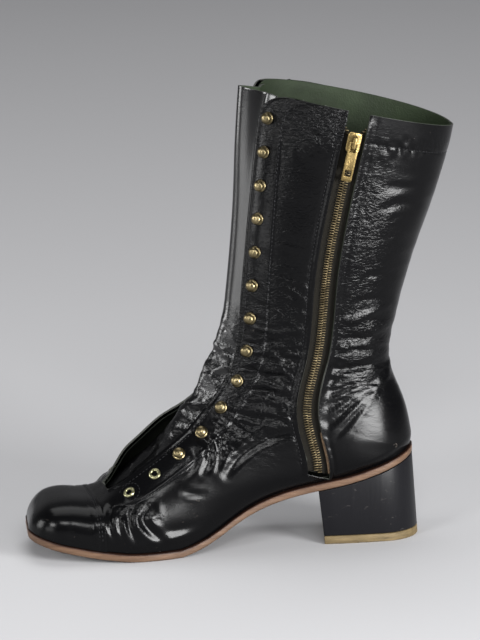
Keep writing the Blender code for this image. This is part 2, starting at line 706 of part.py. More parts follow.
def make_zip_slider(collection, cutters, material):
    frame = slider_frame()
    body = bmesh.new()
    bmesh.ops.create_cube(body, size=1.0)
    size = Vector((2 * SLIDER_HALF[0], 2 * SLIDER_HALF[1], SLIDER_HIGH - SLIDER_LOW)) * MM
    bmesh.ops.scale(body, vec=size, verts=body.verts)
    bmesh.ops.translate(body, vec=Vector((0, 0, (SLIDER_LOW + SLIDER_HIGH) / 2)) * MM, verts=body.verts)
    corners = [edge for edge in body.edges if abs(edge.verts[0].co.z - edge.verts[1].co.z) > 1 * MM]
    bmesh.ops.bevel(body, geom=corners, offset=SLIDER_CORNER * MM, segments=SLIDER_CORNER_STEPS,
                     profile=0.5, affect="EDGES")
    slider = add_object("zip_slider", body, collection, material)
    slider.matrix_world = frame

    arch = bmesh.new()
    ring = [arch.verts.new(Vector((-BRIDGE_HALF_WIDTH, b, c)) * MM) for b, c in BRIDGE_OUTER + BRIDGE_INNER]
    face = arch.faces.new(ring)
    raised = bmesh.ops.extrude_face_region(arch, geom=[face])["geom"]
    moved = [item for item in raised if isinstance(item, bmesh.types.BMVert)]
    bmesh.ops.translate(arch, vec=Vector((2 * BRIDGE_HALF_WIDTH, 0, 0)) * MM, verts=moved)
    bmesh.ops.recalc_face_normals(arch, faces=arch.faces)
    bridge = add_object("zip_slider_bridge", arch, cutters, material)
    bridge.matrix_world = frame
    add_boolean(slider, bridge, "UNION")


def make_zip_pull(collection, material):
    """Make the pull tab, a flat plate with a window for the bridge; its origin is on its hinge."""
    curve = bpy.data.curves.new("zip_pull", "CURVE")
    curve.dimensions = "2D"
    curve.fill_mode = "BOTH"
    curve.extrude = PULL_HALF_THICKNESS * MM
    for outline in (PULL_OUTLINE, PULL_WINDOW, PULL_HOLE):
        loop = curve.splines.new("POLY")
        loop.points.add(len(outline) - 1)
        for point, (a, b) in zip(loop.points, outline):
            point.co = (a * MM, b * MM, 0.0, 1.0)
        loop.use_cyclic_u = True
    curve.materials.append(material)
    pull = bpy.data.objects.new("zip_pull", curve)
    collection.objects.link(pull)
    pull.matrix_world = slider_frame() @ Matrix.Translation((0, 0, HINGE_HEIGHT * MM))


def make_zip(collection, cutters, tape_material, chain_material):
    tape_depth = UPPER_WALL + TAPE_CLEARANCE
    chain_depth = tape_depth - CLEARANCE - CHAIN_THICKNESS
    make_zip_strip(
        "zip_tape", TAPE_HALF, False, tape_depth, TAPE_THICKNESS, TAPE_END_ROWS, collection, tape_material)
    make_zip_strip(
        "zip_chain", CHAIN_HALF, True, chain_depth, CHAIN_THICKNESS, CHAIN_END_ROWS, collection,
        chain_material)
    make_zip_slider(collection, cutters, chain_material)
    make_zip_pull(collection, chain_material)


# Hooks and eyelets


def facing_places(side):
    """Return row and angle of each hook and eyelet, at even steps down the facing from the collar."""
    setbacks = column_spline(FACING_ROWS, "row", "setback")
    places = []
    travelled = 0.0
    wanted = FIRST_HOOK_DROP
    before = None
    for row in np.linspace(COLLAR_ROW, THROAT_ROW, FACING_STEPS):
        angle = breadth_angle(row, side, half_gap(row, INNER, round_corner=False))
        edge = skin(row, side, angle)
        setback = float(setbacks(row)[0])
        while np.linalg.norm(skin(row, side, angle) - edge) < setback:
            angle += FACING_ANGLE_STEP
        here = skin(row, side, angle)
        if before is not None:
            travelled += np.linalg.norm(here - before)
        before = here
        if travelled >= wanted and len(places) < HOOK_COUNT + EYELET_COUNT:
            places.append((row, angle))
            wanted += SHAFT_PITCH if len(places) < SHAFT_HOOKS else INSTEP_PITCH
    return places


def turned_mesh(profile):
    """Return a bmesh of a profile of radius and height turned about Z into a solid or a ring."""
    bm = bmesh.new()
    points = [bm.verts.new(Vector((radius, 0, height)) * MM) for radius, height in profile]
    edges = [bm.edges.new(pair) for pair in zip(points, points[1:])]
    if profile[0][0] > 0 and profile[-1][0] > 0:
        edges.append(bm.edges.new((points[-1], points[0])))
    bmesh.ops.spin(bm, geom=points + edges, cent=(0, 0, 0), axis=(0, 0, 1), angle=math.tau,
                   steps=ROUND_SIDES, use_merge=True)
    bmesh.ops.remove_doubles(bm, verts=bm.verts, dist=WELD_DISTANCE * MM)
    bmesh.ops.recalc_face_normals(bm, faces=bm.faces)
    return bm


def fitting_frame(row, side, angle):
    """Return the frame of a hook or eyelet on the facing, with Z square to the leather."""
    out = Vector(outward(row, side, angle))
    place = (Vector(skin(row, side, angle)) + out * FITTING_CLEARANCE) * MM
    return Matrix.Translation(place) @ out.to_track_quat("Z", "Y").to_matrix().to_4x4()


def make_fittings(collection, material):
    for side, label in ((INNER, "inner"), (OUTER, "outer")):
        for number, (row, angle) in enumerate(facing_places(side), 1):
            if number <= HOOK_COUNT:
                name, profile = f"hook_{label}_{number:02d}", HOOK_PROFILE
            else:
                name, profile = f"eyelet_{label}_{number - HOOK_COUNT}", EYELET_PROFILE
            fitting = add_object(name, turned_mesh(profile), collection, material)
            fitting.matrix_world = fitting_frame(row, side, angle)


def cut_eyelet_holes(upper, cutters, material):
    """Open the upper under each eyelet, where a lace passes through."""
    drill = bmesh.new()
    for side in (INNER, OUTER):
        for row, angle in facing_places(side)[HOOK_COUNT:]:
            bmesh.ops.create_cone(
                drill, cap_ends=True, segments=ROUND_SIDES, depth=EYELET_DRILL * MM,
                radius1=EYELET_HOLE * MM, radius2=EYELET_HOLE * MM, matrix=fitting_frame(row, side, angle))
    add_boolean(upper, add_object("eyelet_drill", drill, cutters, material), "DIFFERENCE")


def main():
    clear_scene()
    boot = new_collection("lace_up_boot")
    cutters = new_collection("cutters")
    patent = new_material("black_patent_leather", (0.012, 0.012, 0.013), 0.18)
    sole_leather = new_material("tan_sole_leather", (0.42, 0.20, 0.11), 0.5)
    heel_leather = new_material("black_heel_leather", (0.014, 0.013, 0.013), 0.3)
    lift_rubber = new_material("ochre_lift_rubber", (0.36, 0.25, 0.09), 0.6)
    lining = new_material("green_lining_leather", (0.05, 0.07, 0.04), 0.7)
    brass = new_material("brass", (0.62, 0.46, 0.2), 0.3, 1.0)
    tape = new_material("dark_zip_tape", (0.03, 0.025, 0.02), 0.9)
    make_outsole(boot, sole_leather)
    make_heel(boot, heel_leather, lift_rubber)
    make_insole(boot, lining)
    upper = make_upper(boot, patent)
    cut_eyelet_holes(upper, cutters, patent)
    make_toe_cap(boot, patent)
    make_tongue(boot, patent)
    make_zip(boot, cutters, tape, brass)
    make_fittings(boot, brass)


main()
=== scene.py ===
"""Lace-up boot in black patent leather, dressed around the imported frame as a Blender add-on.

Lengths in the tables are millimetres, and MM turns them into metres.
A station is a distance forward from the back of the heel, and a height is above the floor.
Inner is the side with the zip (+X), outer is the far side (-X), and the toe points to -Y.
"""
import math
from collections import namedtuple

import bmesh
import bpy
import numpy as np
from bpy.props import FloatProperty, FloatVectorProperty, PointerProperty
from mathutils import Matrix, Vector, noise
from mathutils.bvhtree import BVHTree


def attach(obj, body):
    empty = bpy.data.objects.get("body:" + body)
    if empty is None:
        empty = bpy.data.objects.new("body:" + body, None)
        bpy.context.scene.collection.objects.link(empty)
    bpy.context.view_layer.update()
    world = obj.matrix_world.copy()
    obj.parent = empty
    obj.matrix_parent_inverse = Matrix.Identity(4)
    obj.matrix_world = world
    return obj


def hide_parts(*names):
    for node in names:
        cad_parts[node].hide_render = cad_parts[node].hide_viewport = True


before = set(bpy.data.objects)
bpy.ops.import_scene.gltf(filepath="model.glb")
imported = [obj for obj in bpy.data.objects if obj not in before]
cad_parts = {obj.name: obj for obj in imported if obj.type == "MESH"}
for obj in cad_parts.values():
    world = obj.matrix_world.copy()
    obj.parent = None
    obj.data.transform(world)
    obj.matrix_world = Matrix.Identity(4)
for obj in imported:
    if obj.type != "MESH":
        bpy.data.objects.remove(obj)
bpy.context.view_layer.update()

bl_info = {
    "name": "Lace-up boot",
    "version": (1, 0, 0),
    "blender": (4, 5, 0),
    "location": "View3D > Sidebar > Boot",
    "description": "Dresses the packed boot in patent leather, lining, zip and fittings",
    "category": "Object",
}

MM = 0.001
FAR_AWAY = 1000.0
MERGE_DISTANCE = 0.01 * MM
INNER = 1
OUTER = -1


def table(columns, *rows):
    """Return the rows of a table, with a name for the numbers of each column."""
    row_type = namedtuple("Row", columns)
    return [row_type(*row) for row in rows]


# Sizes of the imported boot
HEEL_BACK_Y = 121.7
SOLE_TIP = 263.8
SOLE_BACK = 3.0
SOLE_THICKNESS = 5.0
SOLE_MARGIN = 2.0
FEATHER_CLEARANCE = 0.7
CAP_OUTSIDE = 1.5
CAP_ROW = 8
THROAT_ROW = 9
LAST_FEATHER_ROW = 21
TOE_ROUND_START = 238.0
TOE_FLAT_HALF = 16.0
TOE_SLANT = 0.12
TOE_SLANT_START = 205.0
HEEL_ROUND_START = 32.0
COLLAR_CORNER_RADIUS = 20.0
OUTER_COLLAR_RISE = 3.0
OUTER_RISE_ROWS = 8.0
OUTER_GAP_SHARE = 0.62
TONGUE_TUCK = 3.2
ZIP_FOOT_ROW = 17
ZIP_HALF_SLIT = 7.5
RELAX_ROWS = 6.0
RELAXED_SLIT = (0.50, 0.58)
TAPE_HALF = 10.0
TAPE_DEPTH = 2.8
CHAIN_MIDDLE_DEPTH = 1.6
SLIDER_ROW = 33.35
V_OPENING_HALF = 8.4
V_OPENING_SINK = 1.6
V_OPENING_ROWS = 0.9
HOOK_COUNT = 12
SHAFT_HOOKS = 8
EYELET_COUNT = 2
FIRST_HOOK_DROP = 17.0
SHAFT_PITCH = 22.4
INSTEP_PITCH = 21.4

# Lowest line of the sole from toe to heel; values under the floor are levelled off to it
SOLE_ROWS = table(
    "station height",
    (263.8, 14.4), (250, 10.4), (237, 6.7), (223, 3.5), (207, 0.9), (190, -0.7), (172, -0.6), (160, 1.8),
    (144, 8.2), (128, 18.0), (112, 26.2), (97, 31.4), (80, 35.4), (63, 38.6), (48, 41.8), (34, 46.0),
    (20, 51.0), (3, 57.0),
)

# Half breadths of the sole between its rounded ends
BREADTH_ROWS = table(
    "station inner outer",
    (32, 28.6, 29.2), (60, 28.2, 30.4), (80, 26.6, 31.6), (100, 26.4, 33.4), (120, 27.8, 35.8),
    (140, 31.6, 38.8), (160, 37.4, 42.2), (180, 42.4, 44.0), (200, 44.2, 44.2), (220, 43.2, 42.6),
    (240, 40.6, 39.6),
)

# Sections of the upper from toe to collar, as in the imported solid. An end height of None is the sole's own.
UPPER_ROWS = table(
    "front_station front_height end_station end_height sag inner outer power gap",
    (261.8, 20.4, 261.8, None, 0.0, 14.0, 14.0, 3.6, 9.0),
    (261.1, 23.9, 261.5, None, 0.0, 17.5, 17.5, 3.6, 9.0),
    (259.2, 28.0, 260.2, None, 0.0, 22.0, 22.0, 3.6, 9.0),
    (255.8, 32.0, 257.4, None, 0.0, 27.0, 27.0, 3.6, 9.0),
    (251.2, 34.9, 252.8, None, 0.0, 32.0, 32.0, 3.6, 9.0),
    (245.4, 36.4, 246.4, None, 0.0, 35.0, 35.0, 3.6, 9.0),
    (237.0, 37.0, 237.0, None, 0.0, 37.6, 37.2, 3.5, 9.0),
    (228.0, 36.3, 227.0, None, 0.0, 40.2, 39.6, 3.3, 9.5),
    (219.0, 36.6, 217.0, None, 0.0, 41.8, 41.4, 3.1, 10.0),
    (211.0, 41.0, 207.0, None, 0.0, 42.8, 42.6, 2.8, 12.0),
    (204.0, 47.2, 196.0, None, 0.0, 43.0, 43.2, 2.6, 17.0),
    (197.0, 53.9, 184.0, None, 0.0, 42.4, 43.0, 2.5, 19.5),
    (190.0, 61.0, 169.0, None, 0.5, 40.8, 42.2, 2.4, 20.0),
    (182.0, 68.4, 150.0, None, 2.0, 38.4, 40.8, 2.35, 20.0),
    (173.5, 76.4, 130.0, None, 4.0, 36.0, 38.8, 2.3, 19.5),
    (165.0, 84.0, 108.0, None, 6.0, 34.0, 36.8, 2.25, 18.0),
    (157.2, 91.2, 85.0, None, 8.0, 32.6, 34.8, 2.25, 16.0),
    (150.0, 98.4, 60.0, None, 9.5, 31.9, 33.4, 2.35, 14.5),
    (143.6, 105.4, 36.0, None, 10.0, 31.8, 32.6, 2.45, 14.0),
    (138.6, 111.6, 17.0, None, 9.5, 31.8, 32.2, 2.55, 14.0),
    (135.0, 116.8, 7.5, None, 8.5, 31.7, 31.9, 2.6, 14.0),
    (132.4, 121.6, 5.0, None, 7.0, 31.4, 31.5, 2.6, 14.0),
    (130.4, 127.0, 6.0, 75.0, 5.2, 31.1, 31.1, 2.55, 14.0),
    (129.0, 133.0, 8.6, 89.0, 3.4, 30.8, 30.8, 2.5, 14.0),
    (127.8, 140.0, 13.4, 103.5, 1.8, 30.6, 30.6, 2.45, 14.0),
    (126.8, 148.0, 17.6, 118.5, 0.8, 30.8, 30.8, 2.4, 14.0),
    (126.0, 157.0, 18.2, 134.0, 0.2, 31.4, 31.4, 2.35, 14.0),
    (125.0, 169.5, 15.2, 151.0, 0.0, 33.0, 33.0, 2.3, 14.0),
    (123.4, 187.0, 10.8, 169.0, 0.0, 35.0, 35.0, 2.25, 14.0),
    (121.4, 207.0, 5.2, 187.5, 0.0, 36.9, 36.9, 2.2, 14.0),
    (119.4, 227.0, -0.6, 205.5, 0.0, 38.4, 38.4, 2.2, 14.0),
    (117.6, 246.0, -6.6, 222.5, 0.0, 39.7, 39.7, 2.2, 14.0),
    (115.8, 264.0, -12.4, 239.0, 0.0, 40.9, 40.9, 2.2, 14.0),
    (113.6, 281.0, -17.4, 254.5, 0.0, 42.0, 42.0, 2.2, 14.0),
    (111.4, 295.0, -20.6, 267.0, 0.0, 42.9, 42.9, 2.2, 14.0),
    (109.2, 306.3, -22.5, 277.0, 0.0, 43.5, 43.5, 2.2, 14.0),
)
COLLAR_ROW = len(UPPER_ROWS) - 1
SPLINED_COLUMNS = ("front_station", "front_height", "end_station", "sag", "inner", "outer", "power", "gap")
FRONT_HEIGHT_COLUMN = SPLINED_COLUMNS.index("front_height")
GAP_COLUMN = SPLINED_COLUMNS.index("gap")

# Middle line of the zip, seen from the side
ZIP_ROWS = table(
    "height station",
    (40, 73.4), (58, 74.2), (75, 78.4), (94, 81.2), (126, 74.8), (178, 70.2), (237, 61.4), (300, 48.8),
)

# Tongue: how far it stands out of the throat, and its half breadth
TONGUE_ROWS = table(
    "row bulge half",
    (8.4, -3.2, 16.0), (10.0, -5.0, 20.0), (11.5, -6.5, 24.0), (12.6, -5.6, 25.0), (13.6, -2.0, 25.0),
    (15.2, 1.2, 24.0), (17.0, 4.8, 22.5), (19.0, 8.2, 21.0), (20.8, 10.0, 20.0), (25.0, 6.2, 20.0),
    (30.0, 5.8, 21.0), (33.0, 9.5, 21.5), (34.8, 12.0, 22.0),
)

# Facing: how far behind its edge the hooks stand, and where the doubled leather ends
FACING_ROWS = table(
    "row setback band",
    (9, 12.0, 20.0), (11, 11.5, 20.0), (13, 9.5, 19.0), (16, 8.5, 18.5), (20, 8.0, 18.5),
    (25, 8.0, 18.5), (35, 8.0, 18.5),
)

# Creases, each from one point over a second to a third in side view. A trough has soft shoulders, and a
# negative depth is a ridge.
CREASE_COLUMNS = "start_station start_height via_station via_height end_station end_height width depth"
CREASES = {
    INNER: table(
        CREASE_COLUMNS,
        # Behind the zip, fanning out of the back of the ankle
        (68, 121, 46, 119, 20, 123, 2.6, 1.3),
        (69, 126, 46, 128, 22, 127, 2.4, -0.7),
        (66, 113, 46, 114, 22, 120, 2.2, 0.9),
        (66, 104, 44, 110, 24, 117, 2.4, 1.2),
        (67, 93, 47, 104, 25, 115, 2.2, 1.0),
        (66, 83, 48, 98, 27, 112, 2.4, 1.1),
        (63, 74, 52, 86, 36, 103, 2.0, 0.7),
        (62, 141, 45, 140, 24, 138, 3.0, 0.9),
        (62, 150, 44, 155, 26, 159, 2.6, -0.7),
        (55, 162, 40, 166, 25, 165, 2.8, 0.6),
        (44, 180, 36, 183, 24, 181, 2.6, 0.5),
        (36, 226, 24, 230, 8, 229, 3.0, 0.6),
        (33, 241, 22, 242, 8, 240, 3.0, 0.5),
        # Between the hooks and the zip
        (112, 138, 104, 134, 92, 136, 1.8, 0.5),
        (113, 129, 103, 131, 90, 128, 1.8, 0.5),
        (119, 122, 106, 117, 90, 118, 2.2, 0.9),
        (117, 113, 107, 113, 97, 109, 1.8, 0.5),
        (122, 108, 106, 106, 91, 101, 2.2, 0.9),
        (122, 99, 112, 98, 101, 94, 1.8, 0.5),
        (129, 92, 111, 89, 93, 86, 2.2, 1.1),
        (136, 54, 117, 71, 90, 80, 3.2, 1.3),
        (128, 75, 113, 82, 96, 87, 2.0, -0.5),
        # Quarter over the instep
        (137, 84, 139, 72, 142, 58, 2.4, 1.0),
        (150, 78, 146, 68, 151, 57, 2.6, 1.2),
        (158, 70, 157, 63, 164, 54, 2.4, 0.6),
        (166, 44, 160, 43, 152, 42, 2.2, 0.4),
        # Vamp behind the toe cap
        (207, 38, 215, 30, 213, 17, 2.0, 1.4),
        (203, 34, 209, 28, 207, 17, 1.8, 0.9),
        (198, 36, 203, 28, 199, 15, 2.4, 1.6),
        (187, 35, 193, 27, 181, 14, 2.8, 1.6),
        (184, 14, 170, 14.5, 156, 17, 3.2, -0.8),
    ),
    # Outer side, which bends in the same places
    OUTER: table(
        CREASE_COLUMNS,
        (70, 122, 46, 120, 20, 123, 2.6, 1.3),
        (74, 113, 48, 114, 22, 120, 2.4, 1.0),
        (76, 102, 48, 108, 24, 117, 2.4, 1.2),
        (72, 90, 49, 102, 25, 115, 2.4, 1.0),
        (66, 80, 50, 94, 28, 111, 2.4, 0.8),
        (72, 140, 45, 139, 24, 138, 3.0, 0.9),
        (70, 152, 44, 156, 26, 158, 2.8, 0.7),
        (116, 136, 98, 133, 78, 136, 2.0, 0.7),
        (119, 124, 98, 121, 76, 124, 2.2, 0.9),
        (121, 113, 100, 109, 80, 112, 2.0, 0.9),
        (125, 101, 104, 98, 84, 98, 2.2, 0.9),
        (129, 92, 111, 88, 90, 86, 2.2, 1.0),
        (138, 56, 118, 71, 90, 79, 3.0, 1.2),
        (138, 84, 143, 70, 147, 56, 2.0, 1.0),
        (150, 78, 158, 66, 170, 54, 2.2, 0.8),
        (210, 38, 213, 30, 211, 17, 2.2, 1.4),
        (202, 36, 204, 27, 200, 14, 2.3, 1.4),
        (193, 34, 192, 25, 186, 14, 2.4, 1.2),
        (185, 33, 180, 28, 171, 21, 2.4, 0.8),
    ),
}
CREASE_STEPS = 14
CREASE_REACH = 4.0
CREASE_TAPER_START = 0.08
CREASE_TAPER_SPAN = 0.84
SHOULDER_PLACE = 1.7
SHOULDER_SHARE = 0.5

# Zones of fine crinkle in the patent film: where, how far they reach, and how strong pebbles and ripples are
CRINKLE_ZONES = table(
    "station height reach_station reach_height pebble ripple",
    (82, 288, 28, 18, 1.2, 1.7),
    (44, 214, 22, 60, 0.1, 0.7),
    (92, 235, 18, 55, 0.3, 0.35),
    (100, 158, 20, 38, 0.6, 0.8),
    (46, 138, 34, 36, 0.25, 0.7),
    (110, 112, 28, 36, 0.45, 1.0),
    (165, 64, 24, 10, 0.25, 0.12),
    (200, 32, 16, 14, 0.4, 0.25),
)
PLAIN_PEBBLE = 0.03
PLAIN_RIPPLE = 0.02

# Zones where the leather itself is crumpled: where, how far, the folds' slope, length, width and height
CRUMPLE_ZONES = table(
    "station height reach_station reach_height slope length width lift",
    (82, 280, 20, 14, 55, 10, 4.5, 1.0),
    (24, 267, 32, 8, 84, 9, 3.5, 0.9),
    (52, 215, 10, 45, -32, 12, 4.0, 0.4),
    (20, 225, 24, 40, -6, 30, 11.0, 0.3),
    (104, 122, 20, 32, 4, 22, 8.0, 1.2),
    (106, 116, 22, 34, 12, 11, 4.0, 0.8),
    (46, 124, 26, 26, 14, 12, 4.5, 0.6),
    (140, 80, 22, 14, 36, 10, 4.5, 0.6),
    (44, 138, 34, 26, -6, 28, 9.0, 0.7),
    (97, 168, 18, 36, 24, 16, 7.0, 0.8),
    (146, 84, 20, 10, 40, 20, 9.0, 0.9),
    (204, 28, 11, 12, 75, 16, 8.0, 0.8),
)

# Zones where the whole wall swells out or draws in: the stiff heel cup, and the ankle above it
FORM_ZONES = table(
    "station height reach_station reach_height lift",
    (36, 62, 34, 26, 3.0),
    (52, 118, 40, 16, -2.4),
    (110, 112, 26, 22, -1.6),
)

# Zones kept smooth by stiffeners and lasting, where soft waves are nearly flat
SMOOTH_ZONES = table(
    "station height reach_station reach_height",
    (28, 76, 30, 24),
    (120, 46, 50, 20),
    (170, 26, 30, 16),
)
SMOOTH_SHARE = 0.12

# Crumpled folds: how high their crests are, how steeply they fall, and steps of their noise by zone and side
FOLD_CREST = 0.45
FOLD_FALL = 2.2
FOLD_ZONE_STEP = 7.3
FOLD_SIDE_STEP = 3.1
FAINT_SHARE = 0.02


# Curves and the boot's own surface


def spline(places, values):
    """Return a smooth curve through the values at the given rising places."""
    places = np.asarray(places, float)
    values = np.asarray(values, float)
    gaps = np.diff(places)
    count = len(places)
    system = np.eye(count)
    load = np.zeros_like(values)
    for i in range(1, count - 1):
        system[i, i - 1:i + 2] = gaps[i - 1], 2 * (gaps[i - 1] + gaps[i]), gaps[i]
        load[i] = 6 * ((values[i + 1] - values[i]) / gaps[i] - (values[i] - values[i - 1]) / gaps[i - 1])
    bend = np.linalg.solve(system, load)

    def at(place):
        i = min(max(int(np.searchsorted(places, place)) - 1, 0), count - 2)
        back = (places[i + 1] - place) / gaps[i]
        ahead = 1 - back
        curving = (back ** 3 - back) * bend[i] + (ahead ** 3 - ahead) * bend[i + 1]
        return back * values[i] + ahead * values[i + 1] + curving * gaps[i] ** 2 / 6

    return at


def column_spline(rows, place, *columns):
    """Return a curve through some columns of a table, read along its place column."""
    ordered = sorted(rows, key=lambda row: getattr(row, place))
    values = [[getattr(row, column) for column in columns] for row in ordered]
    return spline([getattr(row, place) for row in ordered], values)


def signed_power(value, power):
    return np.sign(value) * np.abs(value) ** power


def smooth_step(value, low, high):
    """Return 0 below low, 1 above high and a soft rise between; low may be the higher one."""
    share = np.clip((value - low) / (high - low), 0.0, 1.0)
    return share * share * (3 - 2 * share)


def bell(distance, width):
    """Return 1 at no distance, fading out over a width to both sides."""
    return np.exp(-(distance / width) ** 2)


def run_lengths(points):
    """Return how far along a line of points each of them lies."""
    return np.concatenate(([0.0], np.cumsum(np.linalg.norm(np.diff(points, axis=0), axis=1))))


sole_line = column_spline(SOLE_ROWS, "station", "height")
sole_breadths = column_spline(BREADTH_ROWS, "station", "inner", "outer")
zip_line = column_spline(ZIP_ROWS, "height", "station")
facing_sizes = column_spline(FACING_ROWS, "row", "setback", "band")
tongue_sizes = column_spline(TONGUE_ROWS, "row", "bulge", "half")


def sole_top(station):
    return max(0.0, float(sole_line(station)[0])) + SOLE_THICKNESS


def toe_slant(breadth, station):
    """Return how far points of the toe lie ahead of their station, as its inner side is the longer one."""
    return TOE_SLANT * breadth * smooth_step(station, TOE_SLANT_START, SOLE_TIP)


def true_station(across, y):
    """Return the station of a point in millimetres, with the toe's slant taken out again."""
    station = HEEL_BACK_Y - y
    return station - toe_slant(across, station)


def side_index(side):
    return 0 if side == INNER else 1


def half_breadth(station, side, inset=0.0):
    """Return the half breadth of the sole's outline drawn in by an inset, round at heel and toe corners."""
    along = min(max(station, HEEL_ROUND_START), TOE_ROUND_START)
    breadth = float(sole_breadths(along)[side_index(side)]) - inset
    if station < HEEL_ROUND_START:
        turn = (HEEL_ROUND_START - station) / (HEEL_ROUND_START - SOLE_BACK - inset)
        return breadth * math.sqrt(max(0.0, 1 - turn * turn))
    if station > TOE_ROUND_START:
        turn = (station - TOE_ROUND_START) / (SOLE_TIP - inset - TOE_ROUND_START)
        flat = TOE_FLAT_HALF - inset
        return flat + (breadth - flat) * math.sqrt(max(0.0, 1 - turn * turn))
    return breadth


upper_table = spline(
    range(len(UPPER_ROWS)),
    [[getattr(row, column) for column in SPLINED_COLUMNS] for row in UPPER_ROWS])
back_heights = spline(
    range(LAST_FEATHER_ROW, len(UPPER_ROWS)),
    [row.end_height or sole_top(row.end_station) + FEATHER_CLEARANCE
     for row in UPPER_ROWS[LAST_FEATHER_ROW:]])

Section = namedtuple("Section", "front end sag breadths ends power")
section_store = {}


def section(row):
    """Return the upper's section at a row, which may lie between two rows of the table."""
    if row not in section_store:
        front_s, front_z, end_s, sag, inner, outer, power = (float(v) for v in upper_table(row)[:GAP_COLUMN])
        feather = [0.0, 0.0]
        if row <= LAST_FEATHER_ROW:
            end_z = sole_top(end_s) + FEATHER_CLEARANCE
        else:
            end_z = float(back_heights(row))
        if row < LAST_FEATHER_ROW:
            feather = [half_breadth(end_s, side, SOLE_MARGIN) for side in (INNER, OUTER)]
        breadths = [max(wide, low) for wide, low in zip((inner, outer), feather)]
        ends = [math.pi - math.asin((low / wide) ** (power / 2)) for wide, low in zip(breadths, feather)]
        section_store[row] = Section((front_s, front_z), (end_s, end_z), sag, breadths, ends, power)
    return section_store[row]


def half_gap(row, side, round_corner=True):
    """Return half the throat on one side, which may include the round corner of facing and collar."""
    gap = float(upper_table(row)[GAP_COLUMN])
    if side == OUTER:
        gap *= OUTER_GAP_SHARE
    below_collar = float(upper_table(COLLAR_ROW)[FRONT_HEIGHT_COLUMN] - upper_table(row)[FRONT_HEIGHT_COLUMN])
    rise = min(COLLAR_CORNER_RADIUS - below_collar, COLLAR_CORNER_RADIUS)
    if round_corner and rise > 0:
        gap += COLLAR_CORNER_RADIUS - math.sqrt(COLLAR_CORNER_RADIUS ** 2 - rise ** 2)
    return gap


def side_view(row, along):
    """Return station and height at a fraction of the way from a section's ridge to its end."""
    shape = section(row)
    station = shape.front[0] + along * (shape.end[0] - shape.front[0])
    height = shape.front[1] + along * (shape.end[1] - shape.front[1]) - 4 * shape.sag * along * (1 - along)
    return station, height


def skin(row, side, angle):
    """Return points of the upper's outside, in millimetres, at one angle or several round its section."""
    shape = section(row)
    power = 2 / shape.power
    end_fall = signed_power(math.cos(shape.ends[side_index(side)]), power)
    along = (1 - signed_power(np.cos(angle), power)) / (1 - end_fall)
    station, height = side_view(row, along)
    breadth = shape.breadths[side_index(side)] * np.abs(np.sin(angle)) ** power
    if side == OUTER:
        rise = max(0.0, 1 - (COLLAR_ROW - row) / OUTER_RISE_ROWS) ** 2
        height = height + OUTER_COLLAR_RISE * rise * np.sin(angle)
    station = station + toe_slant(side * breadth, station)
    return np.stack((side * breadth, HEEL_BACK_Y - station, height), axis=-1)


RIDGE_FLAT = 0.14
NORMAL_ROW_STEP = 0.05
NORMAL_ANGLE_STEP = 0.02


def outward(row, side, angle):
    """Return the unit normal of the upper at a point, pointing out of the boot."""
    end = section(row).ends[side_index(side)]
    held = min(max(angle, RIDGE_FLAT), end - RIDGE_FLAT)
    low = max(row - NORMAL_ROW_STEP, 0.0)
    high = min(row + NORMAL_ROW_STEP, COLLAR_ROW)
    across = skin(row, side, held + NORMAL_ANGLE_STEP) - skin(row, side, held - NORMAL_ANGLE_STEP)
    lengthwise = skin(high, side, held) - skin(low, side, held)
    normal = np.cross(across, lengthwise) * side
    normal[0] *= min(1.0, angle / RIDGE_FLAT)
    return normal / np.linalg.norm(normal)


def breadth_angle(row, side, breadth):
    """Return the angle on the front of a section where it reaches a half breadth."""
    shape = section(row)
    return math.asin((breadth / shape.breadths[side_index(side)]) ** (shape.power / 2))


def along_angle(row, side, along):
    """Return the angle at a fraction of the way from a section's ridge to its end."""
    shape = section(row)
    end_fall = signed_power(math.cos(shape.ends[side_index(side)]), 2 / shape.power)
    return math.acos(signed_power(1 - along * (1 - end_fall), shape.power / 2))


ZIP_SEARCH_RANGE = (0.05, 0.999)
ZIP_SEARCH_STEPS = 40


def zip_angle(row, offset):
    """Return the angle where a section crosses a line beside the zip's middle."""
    near, far = ZIP_SEARCH_RANGE
    for _ in range(ZIP_SEARCH_STEPS):
        middle = (near + far) / 2
        station, height = side_view(row, middle)
        if station - float(zip_line(height)[0]) - offset > 0:
            near = middle
        else:
            far = middle
    return along_angle(row, INNER, near)


def slit_fractions(row):
    """Return where the slit's two edges lie between facing edge and section end, also below its foot."""
    held = max(row, ZIP_FOOT_ROW)
    first = breadth_angle(held, INNER, half_gap(held, INNER))
    span = section(held).ends[0] - first
    edges = [(zip_angle(held, offset) - first) / span for offset in (ZIP_HALF_SLIT, -ZIP_HALF_SLIT)]
    relaxed = min(1.0, (held - row) / RELAX_ROWS)
    return [edge + (rest - edge) * relaxed for edge, rest in zip(edges, RELAXED_SLIT)]


def zip_point(row, offset, depth):
    """Return a point in metres beside the zip's middle line, at a depth under the upper's outside."""
    angle = zip_angle(row, offset)
    return Vector(skin(row, INNER, angle) - outward(row, INNER, angle) * depth) * MM


def zip_parting(row):
    """Return half the opening between the two halves of the zip, which is zero below the slider."""
    return V_OPENING_HALF * float(smooth_step(row, SLIDER_ROW, SLIDER_ROW + V_OPENING_ROWS))


def zip_sink(row):
    """Return how much deeper the parted halves of the zip lie, tucked behind the leather."""
    return V_OPENING_SINK * zip_parting(row) / V_OPENING_HALF


# Sheets laid on the surface


